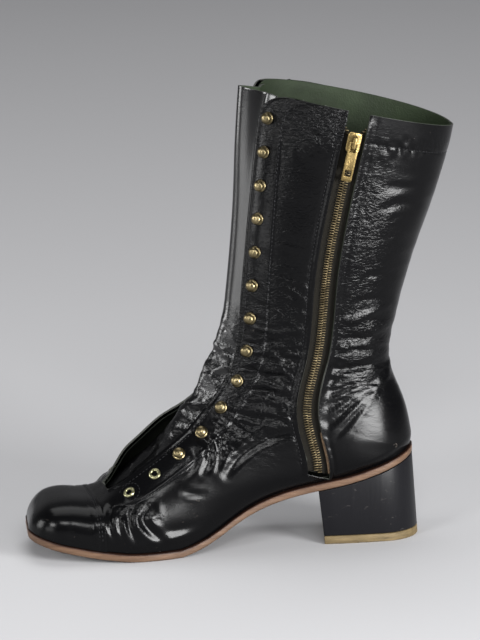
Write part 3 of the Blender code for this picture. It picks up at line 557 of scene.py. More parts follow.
# How many mesh columns a sheet has: in its gap, from facing to slit, across the slit, behind it, and on the
# outer side; and how far apart its rows are
Density = namedtuple("Density", "gap front slit back outer row_step")
LEATHER_DENSITY = Density(8, 58, 2, 62, 84, 0.88)
LINING_DENSITY = Density(4, 22, 2, 18, 34, 2.4)
CAP_DENSITY = Density(10, 46, 1, 46, 62, None)
COVERED_ROWS = 12
CORNER_DROPS = (0.12, 0.45, 1.0)
PROBE_COUNT = 400
PROBE_ALONG = 0.45
ROW_DECIMALS = 5


def even_rows(step):
    """Return rows an even step apart along the side, with few under the toe cap and more at the collar."""
    probes = np.linspace(CAP_ROW - 1, COLLAR_ROW, PROBE_COUNT)
    lengths = run_lengths([skin(row, INNER, along_angle(row, INNER, PROBE_ALONG)) for row in probes])
    even = np.interp(np.linspace(0, lengths[-1], int(lengths[-1] / step)), lengths, probes)
    last_rise = UPPER_ROWS[-1].front_height - UPPER_ROWS[-2].front_height
    corner = [COLLAR_ROW - drop / last_rise for drop in CORNER_DROPS]
    covered = np.linspace(0, CAP_ROW - 1, COVERED_ROWS)
    rows = np.concatenate((covered, even, corner, [THROAT_ROW, ZIP_FOOT_ROW]))
    return np.unique(np.round(rows, ROW_DECIMALS))


def side_angles(row, side, density):
    """Return the angles of a sheet's columns from the ridge to the end of a section."""
    first = breadth_angle(row, side, half_gap(row, side))
    end = section(row).ends[side_index(side)]
    gap = np.linspace(0, first, density.gap + 1)[:-1]
    if side == OUTER:
        return np.concatenate((gap, np.linspace(first, end, density.outer + 1)))
    front, back = (first + (end - first) * fraction for fraction in slit_fractions(row))
    return np.concatenate((
        gap, np.linspace(first, front, density.front + 1)[:-1],
        np.linspace(front, back, density.slit + 1)[:-1], np.linspace(back, end, density.back + 1)))


def distance_from(points, column):
    """Return how far each point lies from its own row's point in one column."""
    return np.linalg.norm(points - points[:, column:column + 1], axis=-1)


# One side of a sheet as arrays: points, and distances from facing edge, slit edges, collar and end of section
SheetSide = namedtuple("SheetSide", "side rows points from_facing from_slit from_collar from_end")


def sheet_side(rows, side, density):
    """Return one side of a sheet on the given rows."""
    rows = np.asarray(rows)
    points = np.array([skin(row, side, side_angles(row, side, density)) for row in rows])
    from_facing = distance_from(points, density.gap)
    from_collar = np.linalg.norm(points - points[-1:], axis=-1)
    from_end = distance_from(points, points.shape[1] - 1)
    from_slit = np.full(from_facing.shape, FAR_AWAY)
    if side == INNER and rows[-1] >= ZIP_FOOT_ROW:
        front = density.gap + density.front
        above = rows >= ZIP_FOOT_ROW
        edges = np.minimum(distance_from(points, front), distance_from(points, front + density.slit))
        from_slit[above] = edges[above]
        foot = points[above][0, front:front + density.slit + 1]
        gaps = np.linalg.norm(points[~above][:, :, None] - foot[None, None], axis=-1)
        from_slit[~above] = gaps.min(axis=-1)
    every_row = rows[:, None] + np.zeros_like(from_facing)
    return SheetSide(side, every_row, points, from_facing, from_slit, from_collar, from_end)


def both_sides(rows, density):
    return [sheet_side(rows, side, density) for side in (INNER, OUTER)]


def seen_from_side(points):
    """Return station and height of points in millimetres, as they are seen from the side."""
    return HEEL_BACK_Y - points[..., 1], points[..., 2]


def zone_share(zone, points):
    """Return how much of a zone reaches each point, fading out of its middle."""
    station, height = seen_from_side(points)
    return bell(station - zone.station, zone.reach_station) * bell(height - zone.height, zone.reach_height)


def crease_lift(side, points):
    """Return how far the creases of one side raise each point, in millimetres."""
    place = np.stack(seen_from_side(points.reshape(-1, 3)), axis=-1)
    lift = np.zeros(len(place))
    steps = np.linspace(0, 1, CREASE_STEPS)[:, None]
    for crease in CREASES[side]:
        start, middle, end = np.array(crease[:6]).reshape(3, 2)
        via = 2 * middle - (start + end) / 2
        path = (1 - steps) ** 2 * start + 2 * steps * (1 - steps) * via + steps ** 2 * end
        reach = CREASE_REACH * crease.width
        low, high = path.min(axis=0) - reach, path.max(axis=0) + reach
        near = np.all((place > low) & (place < high), axis=1)
        best = np.full(near.sum(), np.inf)
        taper = np.zeros(near.sum())
        for i, (a, b) in enumerate(zip(path, path[1:])):
            along = np.clip((place[near] - a) @ (b - a) / np.dot(b - a, b - a), 0, 1)
            gap = np.linalg.norm(place[near] - a - along[:, None] * (b - a), axis=1)
            closer = gap < best
            best[closer] = gap[closer]
            share = (i + along[closer]) / (CREASE_STEPS - 1)
            taper[closer] = np.sin(np.pi * (CREASE_TAPER_START + CREASE_TAPER_SPAN * share))
        ratio = best / crease.width
        profile = SHOULDER_SHARE * bell(ratio - SHOULDER_PLACE, 1.0) - bell(ratio, 1.0)
        lift[near] += crease.depth * taper * profile
    return lift.reshape(points.shape[:-1])


# Soft waves of the leather: wave length and height, where it hangs free
WAVES = ((46.0, 1.1), (17.0, 0.35))


def wave_lift(points):
    """Return the soft unevenness of worn leather at each point."""
    flat = points.reshape(-1, 3)
    lift = np.zeros(len(flat))
    for length, height in WAVES:
        lift += [height * noise.noise(Vector(point / length)) for point in flat]
    for zone in SMOOTH_ZONES:
        lift *= 1 - (1 - SMOOTH_SHARE) * zone_share(zone, flat)
    return lift.reshape(points.shape[:-1])


def leather_lift(sheet):
    """Return the height of creases, crumples and waves where one side of a sheet hangs free."""
    lift = crease_lift(sheet.side, sheet.points) + crumple_lift(sheet.side, sheet.points)
    for zone in FORM_ZONES:
        lift = lift + zone.lift * zone_share(zone, sheet.points)
    return look().crease_depth * free_share(sheet) * (lift + wave_lift(sheet.points)) + flare_lift(sheet)


def crumple_lift(side, points):
    """Return the height of crumpled folds, as sharp ridges of a stretched noise."""
    flat = points.reshape(-1, 3)
    station, height = seen_from_side(flat)
    lift = np.zeros(len(flat))
    for index, zone in enumerate(CRUMPLE_ZONES):
        share = zone_share(zone, flat)
        turn = math.radians(zone.slope)
        along = (station * math.cos(turn) + height * math.sin(turn)) / zone.length
        across = (height * math.cos(turn) - station * math.sin(turn)) / zone.width
        layer = FOLD_ZONE_STEP * index + FOLD_SIDE_STEP * side
        for i in np.nonzero(share > FAINT_SHARE)[0]:
            fold = noise.noise(Vector((along[i], across[i], layer)))
            lift[i] += zone.lift * share[i] * (FOLD_CREST - FOLD_FALL * abs(fold))
    return lift.reshape(points.shape[:-1])


def crinkle_of(points):
    """Return the strength of pebbles and ripples in the patent film at each point."""
    pebble = np.full(points.shape[:-1], PLAIN_PEBBLE)
    ripple = np.full(points.shape[:-1], PLAIN_RIPPLE)
    for zone in CRINKLE_ZONES:
        share = zone_share(zone, points)
        pebble = np.maximum(pebble, zone.pebble * share)
        ripple = np.maximum(ripple, zone.ripple * share)
    return pebble, ripple


# Edges and seams of the leather: heights, widths and distances in millimetres, and fades in rows
BAND_STEP = 0.8
FACING_FADE_ROWS = (-0.6, 0.3)
BAND_EDGE = 1.1
STAY_RIDGE = 0.4
STAY_RIDGE_WIDTH = 1.0
ROLL_WIDTH = 2.8
SLIT_ROLL = 1.3
FACING_ROLL = 0.8
GROOVE_DEPTH = 0.3
GROOVE_WIDTH = 0.9
ZIP_STITCH = 4.2
COLLAR_BAND = 18.5
COLLAR_FADE = (0.5, 9.0)
COLLAR_SEAM_ENDS = {INNER: (48.0, 44.0), OUTER: (92.0, 86.0)}
BACK_SEAM_WIDTH = 1.3


def from_throat(sheet):
    """Return the distance from the facing's edge, which is far away below the throat."""
    return np.where(sheet.rows >= THROAT_ROW, sheet.from_facing, FAR_AWAY)


def seam_lift(sheet):
    """Return the height of turned edges, doubled facings and stitched grooves on one side."""
    band = np.array([float(facing_sizes(max(row, THROAT_ROW))[1]) for row in sheet.rows[:, 0]])[:, None]
    below_collar = smooth_step(sheet.from_collar, *COLLAR_FADE)
    in_facing = below_collar * smooth_step(sheet.rows - THROAT_ROW, *FACING_FADE_ROWS)
    lift = BAND_STEP * in_facing * smooth_step(sheet.from_facing, band + BAND_EDGE, band)
    lift = lift + STAY_RIDGE * in_facing * bell(sheet.from_facing - band, STAY_RIDGE_WIDTH)
    for distance, height in ((sheet.from_slit, SLIT_ROLL), (from_throat(sheet), FACING_ROLL)):
        lift = lift + below_collar * height * np.clip(1 - (distance / ROLL_WIDTH) ** 2, 0, 1) ** 0.5
    station, _ = seen_from_side(sheet.points)
    zip_seam = bell(sheet.from_slit - ZIP_STITCH, GROOVE_WIDTH)
    collar_seam = bell(sheet.from_collar - COLLAR_BAND, GROOVE_WIDTH)
    collar_seam = collar_seam * smooth_step(station, *COLLAR_SEAM_ENDS[sheet.side])
    back_seam = bell(sheet.from_end, BACK_SEAM_WIDTH) * (sheet.rows > LAST_FEATHER_ROW)
    return lift - GROOVE_DEPTH * (zip_seam + collar_seam + back_seam)


FLARE_LIFT = 5.0
FLARE_REACH = 17.0
FLARE_ROWS = (9.2, 12.2, 14.2, 17.5)


def flare_lift(sheet):
    """Return how far the outer facing's loose edge stands up beside the lower end of the tongue."""
    if sheet.side == INNER:
        return np.zeros_like(sheet.rows)
    first, full, waning, last = FLARE_ROWS
    share = smooth_step(sheet.rows, first, full) * smooth_step(sheet.rows, last, waning)
    return FLARE_LIFT * share * smooth_step(sheet.from_facing, FLARE_REACH, 0.0)


# Where creases are held flat: distances over which they come free, and what is free beside the facing's edge
SOLE_HOLD = (0.5, 9.0)
ZIP_HOLD = (-1.0, 6.0)
FACING_HOLD = (0.0, 12.0)
COLLAR_HOLD = (1.0, 15.0)
FACING_FREEDOM = 0.35


def free_share(sheet):
    """Return how freely the leather may crease: held at the sole, along facings, zip and collar."""
    across, y, height = np.moveaxis(sheet.points, -1, 0)
    tops = np.array([[sole_top(station) for station in row] for row in true_station(across, y)])
    free = smooth_step(height - tops, *SOLE_HOLD) * smooth_step(sheet.from_slit, *ZIP_HOLD)
    free = free * (FACING_FREEDOM + (1 - FACING_FREEDOM) * smooth_step(from_throat(sheet), *FACING_HOLD))
    return free * smooth_step(sheet.from_collar, *COLLAR_HOLD)


SHEET_LAYERS = ("lift", "pebble", "ripple")
AHEAD_OF_TOE = Vector((0.0, -1.0, 0.04))


def laid_grid(bm, columns, rows):
    """Add a grid to a bmesh and return its vertices, each after its row and column."""
    made = bmesh.ops.create_grid(bm, x_segments=columns - 1, y_segments=rows - 1, size=1.0)["verts"]
    return [(*divmod(index, columns), vertex) for index, vertex in enumerate(made)]


def lay_sheet(rows, sides, density, lifts, throat_from=math.inf, slit_from=math.inf):
    """Return a bmesh of both sides of a sheet with their lifts, open from the given rows upwards."""
    inner, outer = sides
    points = np.concatenate((inner.points[:, ::-1], outer.points[:, 1:]), axis=1)
    raised = np.concatenate((lifts[0][:, ::-1], lifts[1][:, 1:]), axis=1)
    columns = points.shape[1]
    values = (raised * MM, *crinkle_of(points))
    bm = bmesh.new()
    layers = [bm.verts.layers.float.new(name) for name in SHEET_LAYERS]
    for i, j, vertex in laid_grid(bm, columns, len(rows)):
        vertex.co = points[i, j] * MM
        for layer, value in zip(layers, values):
            vertex[layer] = value[i, j]
    ridge = inner.points.shape[1] - 1
    doomed = []
    for index, face in enumerate(bm.faces):
        i, j = divmod(index, columns - 1)
        in_throat = rows[i] >= throat_from and ridge - density.gap <= j < ridge + density.gap
        in_slit = rows[i] >= slit_from and density.back <= j < density.back + density.slit
        if in_throat or in_slit:
            doomed.append(face)
    bmesh.ops.delete(bm, geom=doomed, context="FACES")
    return bm


def raise_sheet(bm):
    """Merge the back seam, turn the faces outwards and lift each vertex along its normal."""
    bmesh.ops.remove_doubles(bm, verts=bm.verts, dist=MERGE_DISTANCE)
    bmesh.ops.recalc_face_normals(bm, faces=bm.faces)
    nearest = min(bm.faces, key=lambda face: (face.calc_center_median() - AHEAD_OF_TOE).length)
    if nearest.normal.dot(AHEAD_OF_TOE - nearest.calc_center_median()) < 0:
        bmesh.ops.reverse_faces(bm, faces=bm.faces)
    bm.normal_update()
    layer = bm.verts.layers.float["lift"]
    for vertex in bm.verts:
        vertex.co += vertex.normal * vertex[layer]
    bm.normal_update()


def turn_from_foot(bm):
    """Merge a strip on the zip's side and turn its faces away from the foot."""
    bmesh.ops.remove_doubles(bm, verts=bm.verts, dist=MERGE_DISTANCE)
    bmesh.ops.recalc_face_normals(bm, faces=bm.faces)
    bm.faces.ensure_lookup_table()
    if bm.faces[0].normal.x < 0:
        bmesh.ops.reverse_faces(bm, faces=bm.faces)


# Objects and materials


surfaces = {}


def look():
    """Return the sizes and colours that the panel shows."""
    return bpy.context.scene.boot_look


def new_piece(name, bm, materials, replaced=(), body="boot"):
    """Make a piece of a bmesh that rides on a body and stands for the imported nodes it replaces."""
    mesh = bpy.data.meshes.new(name)
    bm.to_mesh(mesh)
    bm.free()
    mesh.shade_smooth()
    for material in materials:
        mesh.materials.append(material)
    piece = bpy.data.objects.new(name, mesh)
    bpy.context.scene.collection.objects.link(piece)
    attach(piece, body)
    if replaced:
        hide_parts(*replaced)
    return piece


RIM_SEGMENTS = 2
RIM_ANGLE = math.radians(62)


def add_wall(piece, thickness, rim=0.0, inner_slot=0, rim_slot=0, rim_only=False):
    """Give a sheet its thickness inwards, or only at its cut edges, and round these edges."""
    wall = piece.modifiers.new("wall", "SOLIDIFY")
    wall.thickness = thickness
    wall.offset = -1
    wall.use_even_offset = False
    wall.use_rim_only = rim_only
    wall.material_offset = inner_slot
    wall.material_offset_rim = rim_slot
    if rim:
        edge = piece.modifiers.new("edge", "BEVEL")
        edge.width = rim
        edge.segments = RIM_SEGMENTS
        edge.limit_method = "ANGLE"
        edge.angle_limit = RIM_ANGLE
        edge.harden_normals = False


METAL_GLOSS = 0.5


def new_material(name, colour, roughness, metallic=0.0, coat=0.0, coat_roughness=0.05, gloss=0.2):
    """Return a material with its node tree and its shader."""
    material = bpy.data.materials.new(name)
    material.use_nodes = True
    tree = material.node_tree
    shader = tree.nodes["Principled BSDF"]
    shader.inputs["Base Color"].default_value = (*colour, 1.0)
    shader.inputs["Roughness"].default_value = roughness
    shader.inputs["Metallic"].default_value = metallic
    shader.inputs["Specular IOR Level"].default_value = METAL_GLOSS if metallic else gloss
    shader.inputs["Coat Weight"].default_value = coat
    shader.inputs["Coat Roughness"].default_value = coat_roughness
    return material, tree, shader


def link(tree, source, target):
    tree.links.new(source, target)


def object_place(tree):
    """Return the Object coordinates."""
    return tree.nodes.new("ShaderNodeTexCoord").outputs["Object"]


def object_noise(tree, scale, detail=3.0, stretch=(1.0, 1.0, 1.0), turn=(0.0, 0.0, 0.0), distortion=0.0):
    """Return the value of a noise on Object coordinates, at a scale per metre."""
    mapping = tree.nodes.new("ShaderNodeMapping")
    mapping.inputs["Scale"].default_value = stretch
    mapping.inputs["Rotation"].default_value = turn
    texture = tree.nodes.new("ShaderNodeTexNoise")
    texture.inputs["Scale"].default_value = scale
    texture.inputs["Detail"].default_value = detail
    texture.inputs["Distortion"].default_value = distortion
    link(tree, object_place(tree), mapping.inputs["Vector"])
    link(tree, mapping.outputs["Vector"], texture.inputs["Vector"])
    return texture.outputs["Fac"]


def math_node(tree, operation, first, second):
    """Return the result of an operation on two values, each a number or a socket."""
    node = tree.nodes.new("ShaderNodeMath")
    node.operation = operation
    for socket, value in zip(node.inputs, (first, second)):
        if isinstance(value, (int, float)):
            socket.default_value = value
        else:
            link(tree, value, socket)
    return node.outputs[0]


def attribute(tree, name):
    """Return a value that the mesh holds for each vertex."""
    node = tree.nodes.new("ShaderNodeAttribute")
    node.attribute_name = name
    return node.outputs["Fac"]


def ramp(tree, value, low, high, low_colour, high_colour):
    """Return a colour that runs from one to another as a value goes from low to high."""
    node = tree.nodes.new("ShaderNodeValToRGB")
    stops = ((low, low_colour), (high, high_colour))
    for element, (position, colour) in zip(node.color_ramp.elements, stops):
        element.position = position
        element.color = (*colour, 1.0)
    link(tree, value, node.inputs["Fac"])
    return node.outputs["Color"]


def mottle(tree, shader, pattern, low, high, low_colour, high_colour):
    """Colour a material by a pattern, from one colour to another."""
    link(tree, ramp(tree, pattern, low, high, low_colour, high_colour), shader.inputs["Base Color"])


def vary_roughness(tree, shader, pattern, low, high, to_low, to_high):
    """Let a material's roughness run from one value to another as a pattern goes from low to high."""
    node = tree.nodes.new("ShaderNodeMapRange")
    node.inputs["From Min"].default_value = low
    node.inputs["From Max"].default_value = high
    node.inputs["To Min"].default_value = to_low
    node.inputs["To Max"].default_value = to_high
    link(tree, pattern, node.inputs["Value"])
    link(tree, node.outputs["Result"], shader.inputs["Roughness"])


def add_bump(tree, shader, height, distance, coated=False):
    """Raise a material by a height pattern, to a distance in metres."""
    bump = tree.nodes.new("ShaderNodeBump")
    bump.inputs["Strength"].default_value = 1.0
    bump.inputs["Distance"].default_value = distance
    link(tree, height, bump.inputs["Height"])
    link(tree, bump.outputs["Normal"], shader.inputs["Normal"])
    if coated:
        link(tree, bump.outputs["Normal"], shader.inputs["Coat Normal"])


def lighter(colour, factor):
    return tuple(min(1.0, part * factor) for part in colour)


PLAIN = (1.0, 1.0, 1.0)
SCUFF_COLOUR = (0.08, 0.07, 0.06)
GRAIN_SHARE = 0.05
RIPPLE_STRETCH = (1.6, 1.6, 3.6)
RIPPLE_TURN = (0.16, 0.1, 0.0)


def patent_material(name, coat=0.33, film_index=1.36, film_roughness=0.17):
    """Black patent leather: a glossy film with pebbles and ripples where it has been bent."""
    colour = tuple(look().patent)
    material, tree, shader = new_material(
        name, colour, roughness=0.3, coat=coat, coat_roughness=film_roughness, gloss=0.03)
    shader.inputs["Coat IOR"].default_value = film_index
    grain = math_node(tree, "MULTIPLY", object_noise(tree, 1400, detail=2.0), GRAIN_SHARE)
    pebbles = object_noise(tree, 460, distortion=1.2)
    pebbles = math_node(tree, "MULTIPLY", pebbles, attribute(tree, "pebble"))
    ripples = object_noise(tree, 150, detail=2.0, stretch=RIPPLE_STRETCH, turn=RIPPLE_TURN, distortion=1.0)
    ripples = math_node(tree, "MULTIPLY", ripples, attribute(tree, "ripple"))
    height = math_node(tree, "ADD", grain, math_node(tree, "ADD", pebbles, ripples))
    add_bump(tree, shader, height, 0.8 * MM, coated=True)
    scuffs = object_noise(tree, 170, detail=6.0, distortion=2.0)
    mottle(tree, shader, scuffs, 0.72, 0.84, colour, SCUFF_COLOUR)
    vary_roughness(tree, shader, object_noise(tree, 38, detail=4.0), 0.35, 0.7, 0.18, 0.34)
    return material


def multiplied(tree, first, second):
    """Return the product of two colours."""
    node = tree.nodes.new("ShaderNodeMix")
    node.data_type = "RGBA"
    node.blend_type = "MULTIPLY"
    node.inputs["Factor"].default_value = 1.0
    link(tree, first, node.inputs["A"])
    link(tree, second, node.inputs["B"])
    return node.outputs["Result"]


# Painted shade of the lining: the height in metres it is measured against, and the colour share it darkens to
# deep inside
LINING_TOP = 0.30
LINING_PAINTED_SHADE = (0.22, 0.22, 0.22)
EDGE_COLOUR = (0.04, 0.042, 0.036)


def lining_material():
    """Dark green lining leather, matt and finely grained, rubbed paler in places, with painted shade that
    darkens it deep inside the boot.
    """
    colour = tuple(look().lining)
    material, tree, shader = new_material("lining_leather", colour, roughness=0.72)
    rubbed = object_noise(tree, 42, detail=5.0)
    patches = ramp(tree, rubbed, 0.32, 0.72, lighter(colour, 0.7), lighter(colour, 1.4))
    split = tree.nodes.new("ShaderNodeSeparateXYZ")
    link(tree, object_place(tree), split.inputs["Vector"])
    height = math_node(tree, "MULTIPLY", split.outputs["Z"], 1 / LINING_TOP)
    # Painted shade: the lining's colour is darkened the lower it lies inside the boot
    depth = ramp(tree, height, 0.3, 0.85, LINING_PAINTED_SHADE, PLAIN)
    link(tree, multiplied(tree, patches, depth), shader.inputs["Base Color"])
    grain = math_node(tree, "ADD", object_noise(tree, 900), object_noise(tree, 120))
    add_bump(tree, shader, grain, 0.4 * MM)
    return material


def edge_material():
    """Cut and painted leather edge."""
    material, tree, shader = new_material("leather_edge", EDGE_COLOUR, roughness=0.45)
    add_bump(tree, shader, object_noise(tree, 700), 0.3 * MM)
    return material


def raw_leather_material(name, colour):
    """Uncoated leather: fibrous, uneven in colour, darker where it is rubbed."""
    material, tree, shader = new_material(name, colour, roughness=0.58)
    fibres = object_noise(tree, 160, detail=6.0, stretch=(1.0, 0.35, 3.0))
    mottle(tree, shader, fibres, 0.30, 0.72, lighter(colour, 0.55), lighter(colour, 1.3))
    add_bump(tree, shader, object_noise(tree, 600, detail=4.0, stretch=(1.0, 0.5, 2.5)), 0.4 * MM)
    return material


# Colours up the sole's edge as shares of its own, from its worn lower edge to the dark line under the upper
SOLE_STOPS = table(
    "height red green blue",
    (0.0, 0.4, 0.38, 0.36),
    (0.14, 0.9, 0.9, 0.9),
    (0.5, 1.15, 1.15, 1.15),
    (0.8, 0.95, 0.9, 0.86),
    (0.9, 0.3, 0.2, 0.18),
    (1.0, 0.18, 0.12, 0.11),
)


SOLE_FIBRE_SHADE = (0.55, 0.52, 0.5)
SOLE_LINE_WANDER = 0.16


def sole_material():
    """Leather sole whose edge is worn below, tan in the middle and stained dark along its top."""
    colour = tuple(look().sole)
    material, tree, shader = new_material("sole_leather", colour, roughness=0.5)
    node = tree.nodes.new("ShaderNodeValToRGB")
    elements = node.color_ramp.elements
    elements.remove(elements[1])
    for stop in SOLE_STOPS:
        element = elements.new(stop.height) if stop.height else elements[0]
        shares = (stop.red, stop.green, stop.blue)
        element.color = (*(share * part for share, part in zip(shares, colour)), 1.0)
    wander = math_node(tree, "MULTIPLY", object_noise(tree, 60, detail=4.0), SOLE_LINE_WANDER)
    wander = math_node(tree, "SUBTRACT", wander, SOLE_LINE_WANDER / 2)
    link(tree, math_node(tree, "ADD", attribute(tree, "edge_height"), wander), node.inputs["Fac"])
    fibres = object_noise(tree, 140, detail=6.0, stretch=(1.0, 0.3, 3.0))
    shade = ramp(tree, fibres, 0.3, 0.75, SOLE_FIBRE_SHADE, PLAIN)
    link(tree, multiplied(tree, node.outputs["Color"], shade), shader.inputs["Base Color"])
    add_bump(tree, shader, object_noise(tree, 500, detail=4.0, stretch=(1.0, 0.5, 2.0)), 0.3 * MM)
    return material


HEEL_COLOUR = (0.0055, 0.0055, 0.0065)
HEEL_SCRATCH_COLOUR = (0.07, 0.065, 0.06)
THREAD_COLOUR = (0.006, 0.006, 0.007)


def heel_material():
    """Stacked leather heel, stained black and polished, with faint layers."""
    material, tree, shader = new_material(
        "heel_leather", HEEL_COLOUR, roughness=0.36, coat=0.04, coat_roughness=0.2, gloss=0.07)
    add_bump(tree, shader, object_noise(tree, 90, detail=4.0, stretch=(3.0, 3.0, 0.3)), 0.12 * MM)
    scratches = object_noise(tree, 240, detail=6.0, stretch=(0.6, 0.6, 2.0), distortion=1.0)
    mottle(tree, shader, scratches, 0.66, 0.82, HEEL_COLOUR, HEEL_SCRATCH_COLOUR)
    return material


def brass_material(name, colour, roughness=0.3):
    """Brass with a soft polish and brown tarnish in its hollows."""
    material, tree, shader = new_material(name, colour, roughness, metallic=1.0)
    tarnish = object_noise(tree, 220, detail=4.0)
    mottle(tree, shader, tarnish, 0.36, 0.68, lighter(colour, 0.45), lighter(colour, 1.12))
    vary_roughness(tree, shader, tarnish, 0.3, 0.7, 1.4 * roughness, 0.8 * roughness)
    add_bump(tree, shader, object_noise(tree, 900), 0.15 * MM)
    return material


def tape_material():
    """Woven zip tape, dark brown with a green cast."""
    colour = tuple(look().tape)
    material, tree, shader = new_material("zip_tape", colour, roughness=0.85)
    weave = tree.nodes.new("ShaderNodeTexWave")
    weave.inputs["Scale"].default_value = 420
    weave.inputs["Distortion"].default_value = 1.0
    weave.bands_direction = "Z"
    link(tree, object_place(tree), weave.inputs["Vector"])
    mottle(tree, shader, weave.outputs["Fac"], 0.1, 0.9, lighter(colour, 0.6), lighter(colour, 1.5))
    add_bump(tree, shader, weave.outputs["Fac"], 0.3 * MM)
    return material


def thread_material():
    """Waxed black thread."""
    material, tree, shader = new_material("thread", THREAD_COLOUR, roughness=0.5)
    add_bump(tree, shader, object_noise(tree, 1500, detail=2.0), 0.2 * MM)
    return material


# Upper, lining, toe cap and tongue


UPPER_RIM = 0.35 * MM


def make_upper():
    rows = even_rows(LEATHER_DENSITY.row_step)
    sides = both_sides(rows, LEATHER_DENSITY)
    lifts = [leather_lift(sheet) + seam_lift(sheet) for sheet in sides]
    bm = lay_sheet(rows, sides, LEATHER_DENSITY, lifts, THROAT_ROW, ZIP_FOOT_ROW)
    raise_sheet(bm)
    surfaces["upper"] = BVHTree.FromBMesh(bm)
    surfaces["sides"] = sides
    materials = [patent_material("patent_leather"), edge_material()]
    piece = new_piece("upper_leather", bm, materials, ("upper",))
    add_wall(piece, look().leather, rim=UPPER_RIM, rim_slot=1, rim_only=True)


LINING_FIRST_ROW = CAP_ROW - 4
LINING_SLIT_ROW = ZIP_FOOT_ROW - 0.6
LINING_CLEARANCE = 0.12
LINING_BAND_STEP = 0.35
LINING_WALL = 0.6 * MM


def make_lining():
    rows = even_rows(LINING_DENSITY.row_step)
    rows = rows[rows >= LINING_FIRST_ROW]
    depth = look().leather / MM + LINING_CLEARANCE
    sides = both_sides(rows, LINING_DENSITY)
    lifts = []
    for sheet in sides:
        band = LINING_BAND_STEP * smooth_step(sheet.from_collar, COLLAR_BAND + 1.0, COLLAR_BAND - 1.0)
        lifts.append(leather_lift(sheet) - depth - band)
    bm = lay_sheet(rows, sides, LINING_DENSITY, lifts, THROAT_ROW, LINING_SLIT_ROW)
    raise_sheet(bm)
    piece = new_piece("lining", bm, [lining_material()])
    add_wall(piece, LINING_WALL)


CAP_FRONT_ROW = 5
CAP_FRONT_STEPS = 46
CAP_TOP_STEPS = 34
CAP_GROOVE_ROWS = 0.34
CAP_GROOVE_WIDTH = 0.09
CAP_DENT_HEIGHT = 0.1
CAP_DENT_SQUEEZE = 1.4
CAP_EVEN_ROWS = 2.0
CAP_SOLE_CLEARANCE = 0.15
CAP_WALL = 1.1 * MM
CAP_RIM = 0.4 * MM


def make_toe_cap():
    front_rows = np.linspace(0, CAP_FRONT_ROW, CAP_FRONT_STEPS)[:-1]
    rows = np.concatenate((front_rows, np.linspace(CAP_FRONT_ROW, CAP_ROW, CAP_TOP_STEPS)))
    sides = both_sides(rows, CAP_DENSITY)
    lifts = []
    for sheet in sides:
        ahead = CAP_ROW - sheet.rows
        groove = GROOVE_DEPTH * bell(ahead - CAP_GROOVE_ROWS, CAP_GROOVE_WIDTH)
        dents = CAP_DENT_HEIGHT * wave_lift(sheet.points * CAP_DENT_SQUEEZE)
        lifts.append(CAP_OUTSIDE + dents * smooth_step(ahead, 0.0, CAP_EVEN_ROWS) - groove)
    bm = lay_sheet(rows, sides, CAP_DENSITY, lifts)
    raise_sheet(bm)
    for vertex in bm.verts:
        lowest = sole_top(true_station(vertex.co.x / MM, vertex.co.y / MM)) + CAP_SOLE_CLEARANCE
        vertex.co.z = max(vertex.co.z, lowest * MM)
    surfaces["toe_cap"] = BVHTree.FromBMesh(bm)
    materials = [patent_material("toe_cap_patent"), edge_material()]
    piece = new_piece("toe_cap_leather", bm, materials, ("toe_cap",))
    add_wall(piece, CAP_WALL, rim=CAP_RIM, inner_slot=1, rim_slot=0)


TONGUE_COLUMNS = 41
TONGUE_LENGTH_ROWS = 210
# Wrinkles of the tongue: length and height, how they are drawn out sideways, their crests and their fall
TONGUE_WRINKLES = ((15.0, 2.0), (7.0, 0.8))
WRINKLE_STRETCH = 0.7
WRINKLE_CREST = 0.4
WRINKLE_FALL = 1.8
TONGUE_WRINKLE_ROWS = (9.5, 12.0, 23.5, 27.5)
TONGUE_EDGE_HOLD = (1.0, 6.0)
TONGUE_PLAIN_FILM = 0.02
TONGUE_PEBBLE = 0.3
TONGUE_RIPPLE = 0.25
TONGUE_WALL = 1.4 * MM
TONGUE_RIM = 0.4 * MM


def tongue_point(row, share):
    """Return a point of the tongue's outside, arched out of the throat and tucked under the facings."""
    bulge, half = (float(value) for value in tongue_sizes(row))
    breadth = abs(share) * half
    side = INNER if share >= 0 else OUTER
    gap = half_gap(row, side, round_corner=False)
    swell = math.cos(math.pi / 2 * min(1.0, breadth / gap)) ** 2
    angle = breadth_angle(row, side, breadth)
    rise = -TONGUE_TUCK + (bulge + TONGUE_TUCK) * swell
    return skin(row, side, angle) + outward(row, side, angle) * rise


def tongue_freedom(row, share):
    """Return how freely the tongue may wrinkle, which it can't under the facings."""
    gap = half_gap(row, INNER if share >= 0 else OUTER, round_corner=False)
    held, free = TONGUE_EDGE_HOLD
    return smooth_step(abs(share) * float(tongue_sizes(row)[1]), gap - held, gap - free)


def wrinkle_height(point):
    """Return the height of the tongue's wrinkles at a point in millimetres."""
    height = 0.0
    for length, size in TONGUE_WRINKLES:
        place = point / length + Vector((length, 0.0, 0.0))
        place.x *= WRINKLE_STRETCH
        height += size * (WRINKLE_CREST - WRINKLE_FALL * abs(noise.noise(place)))
    return height


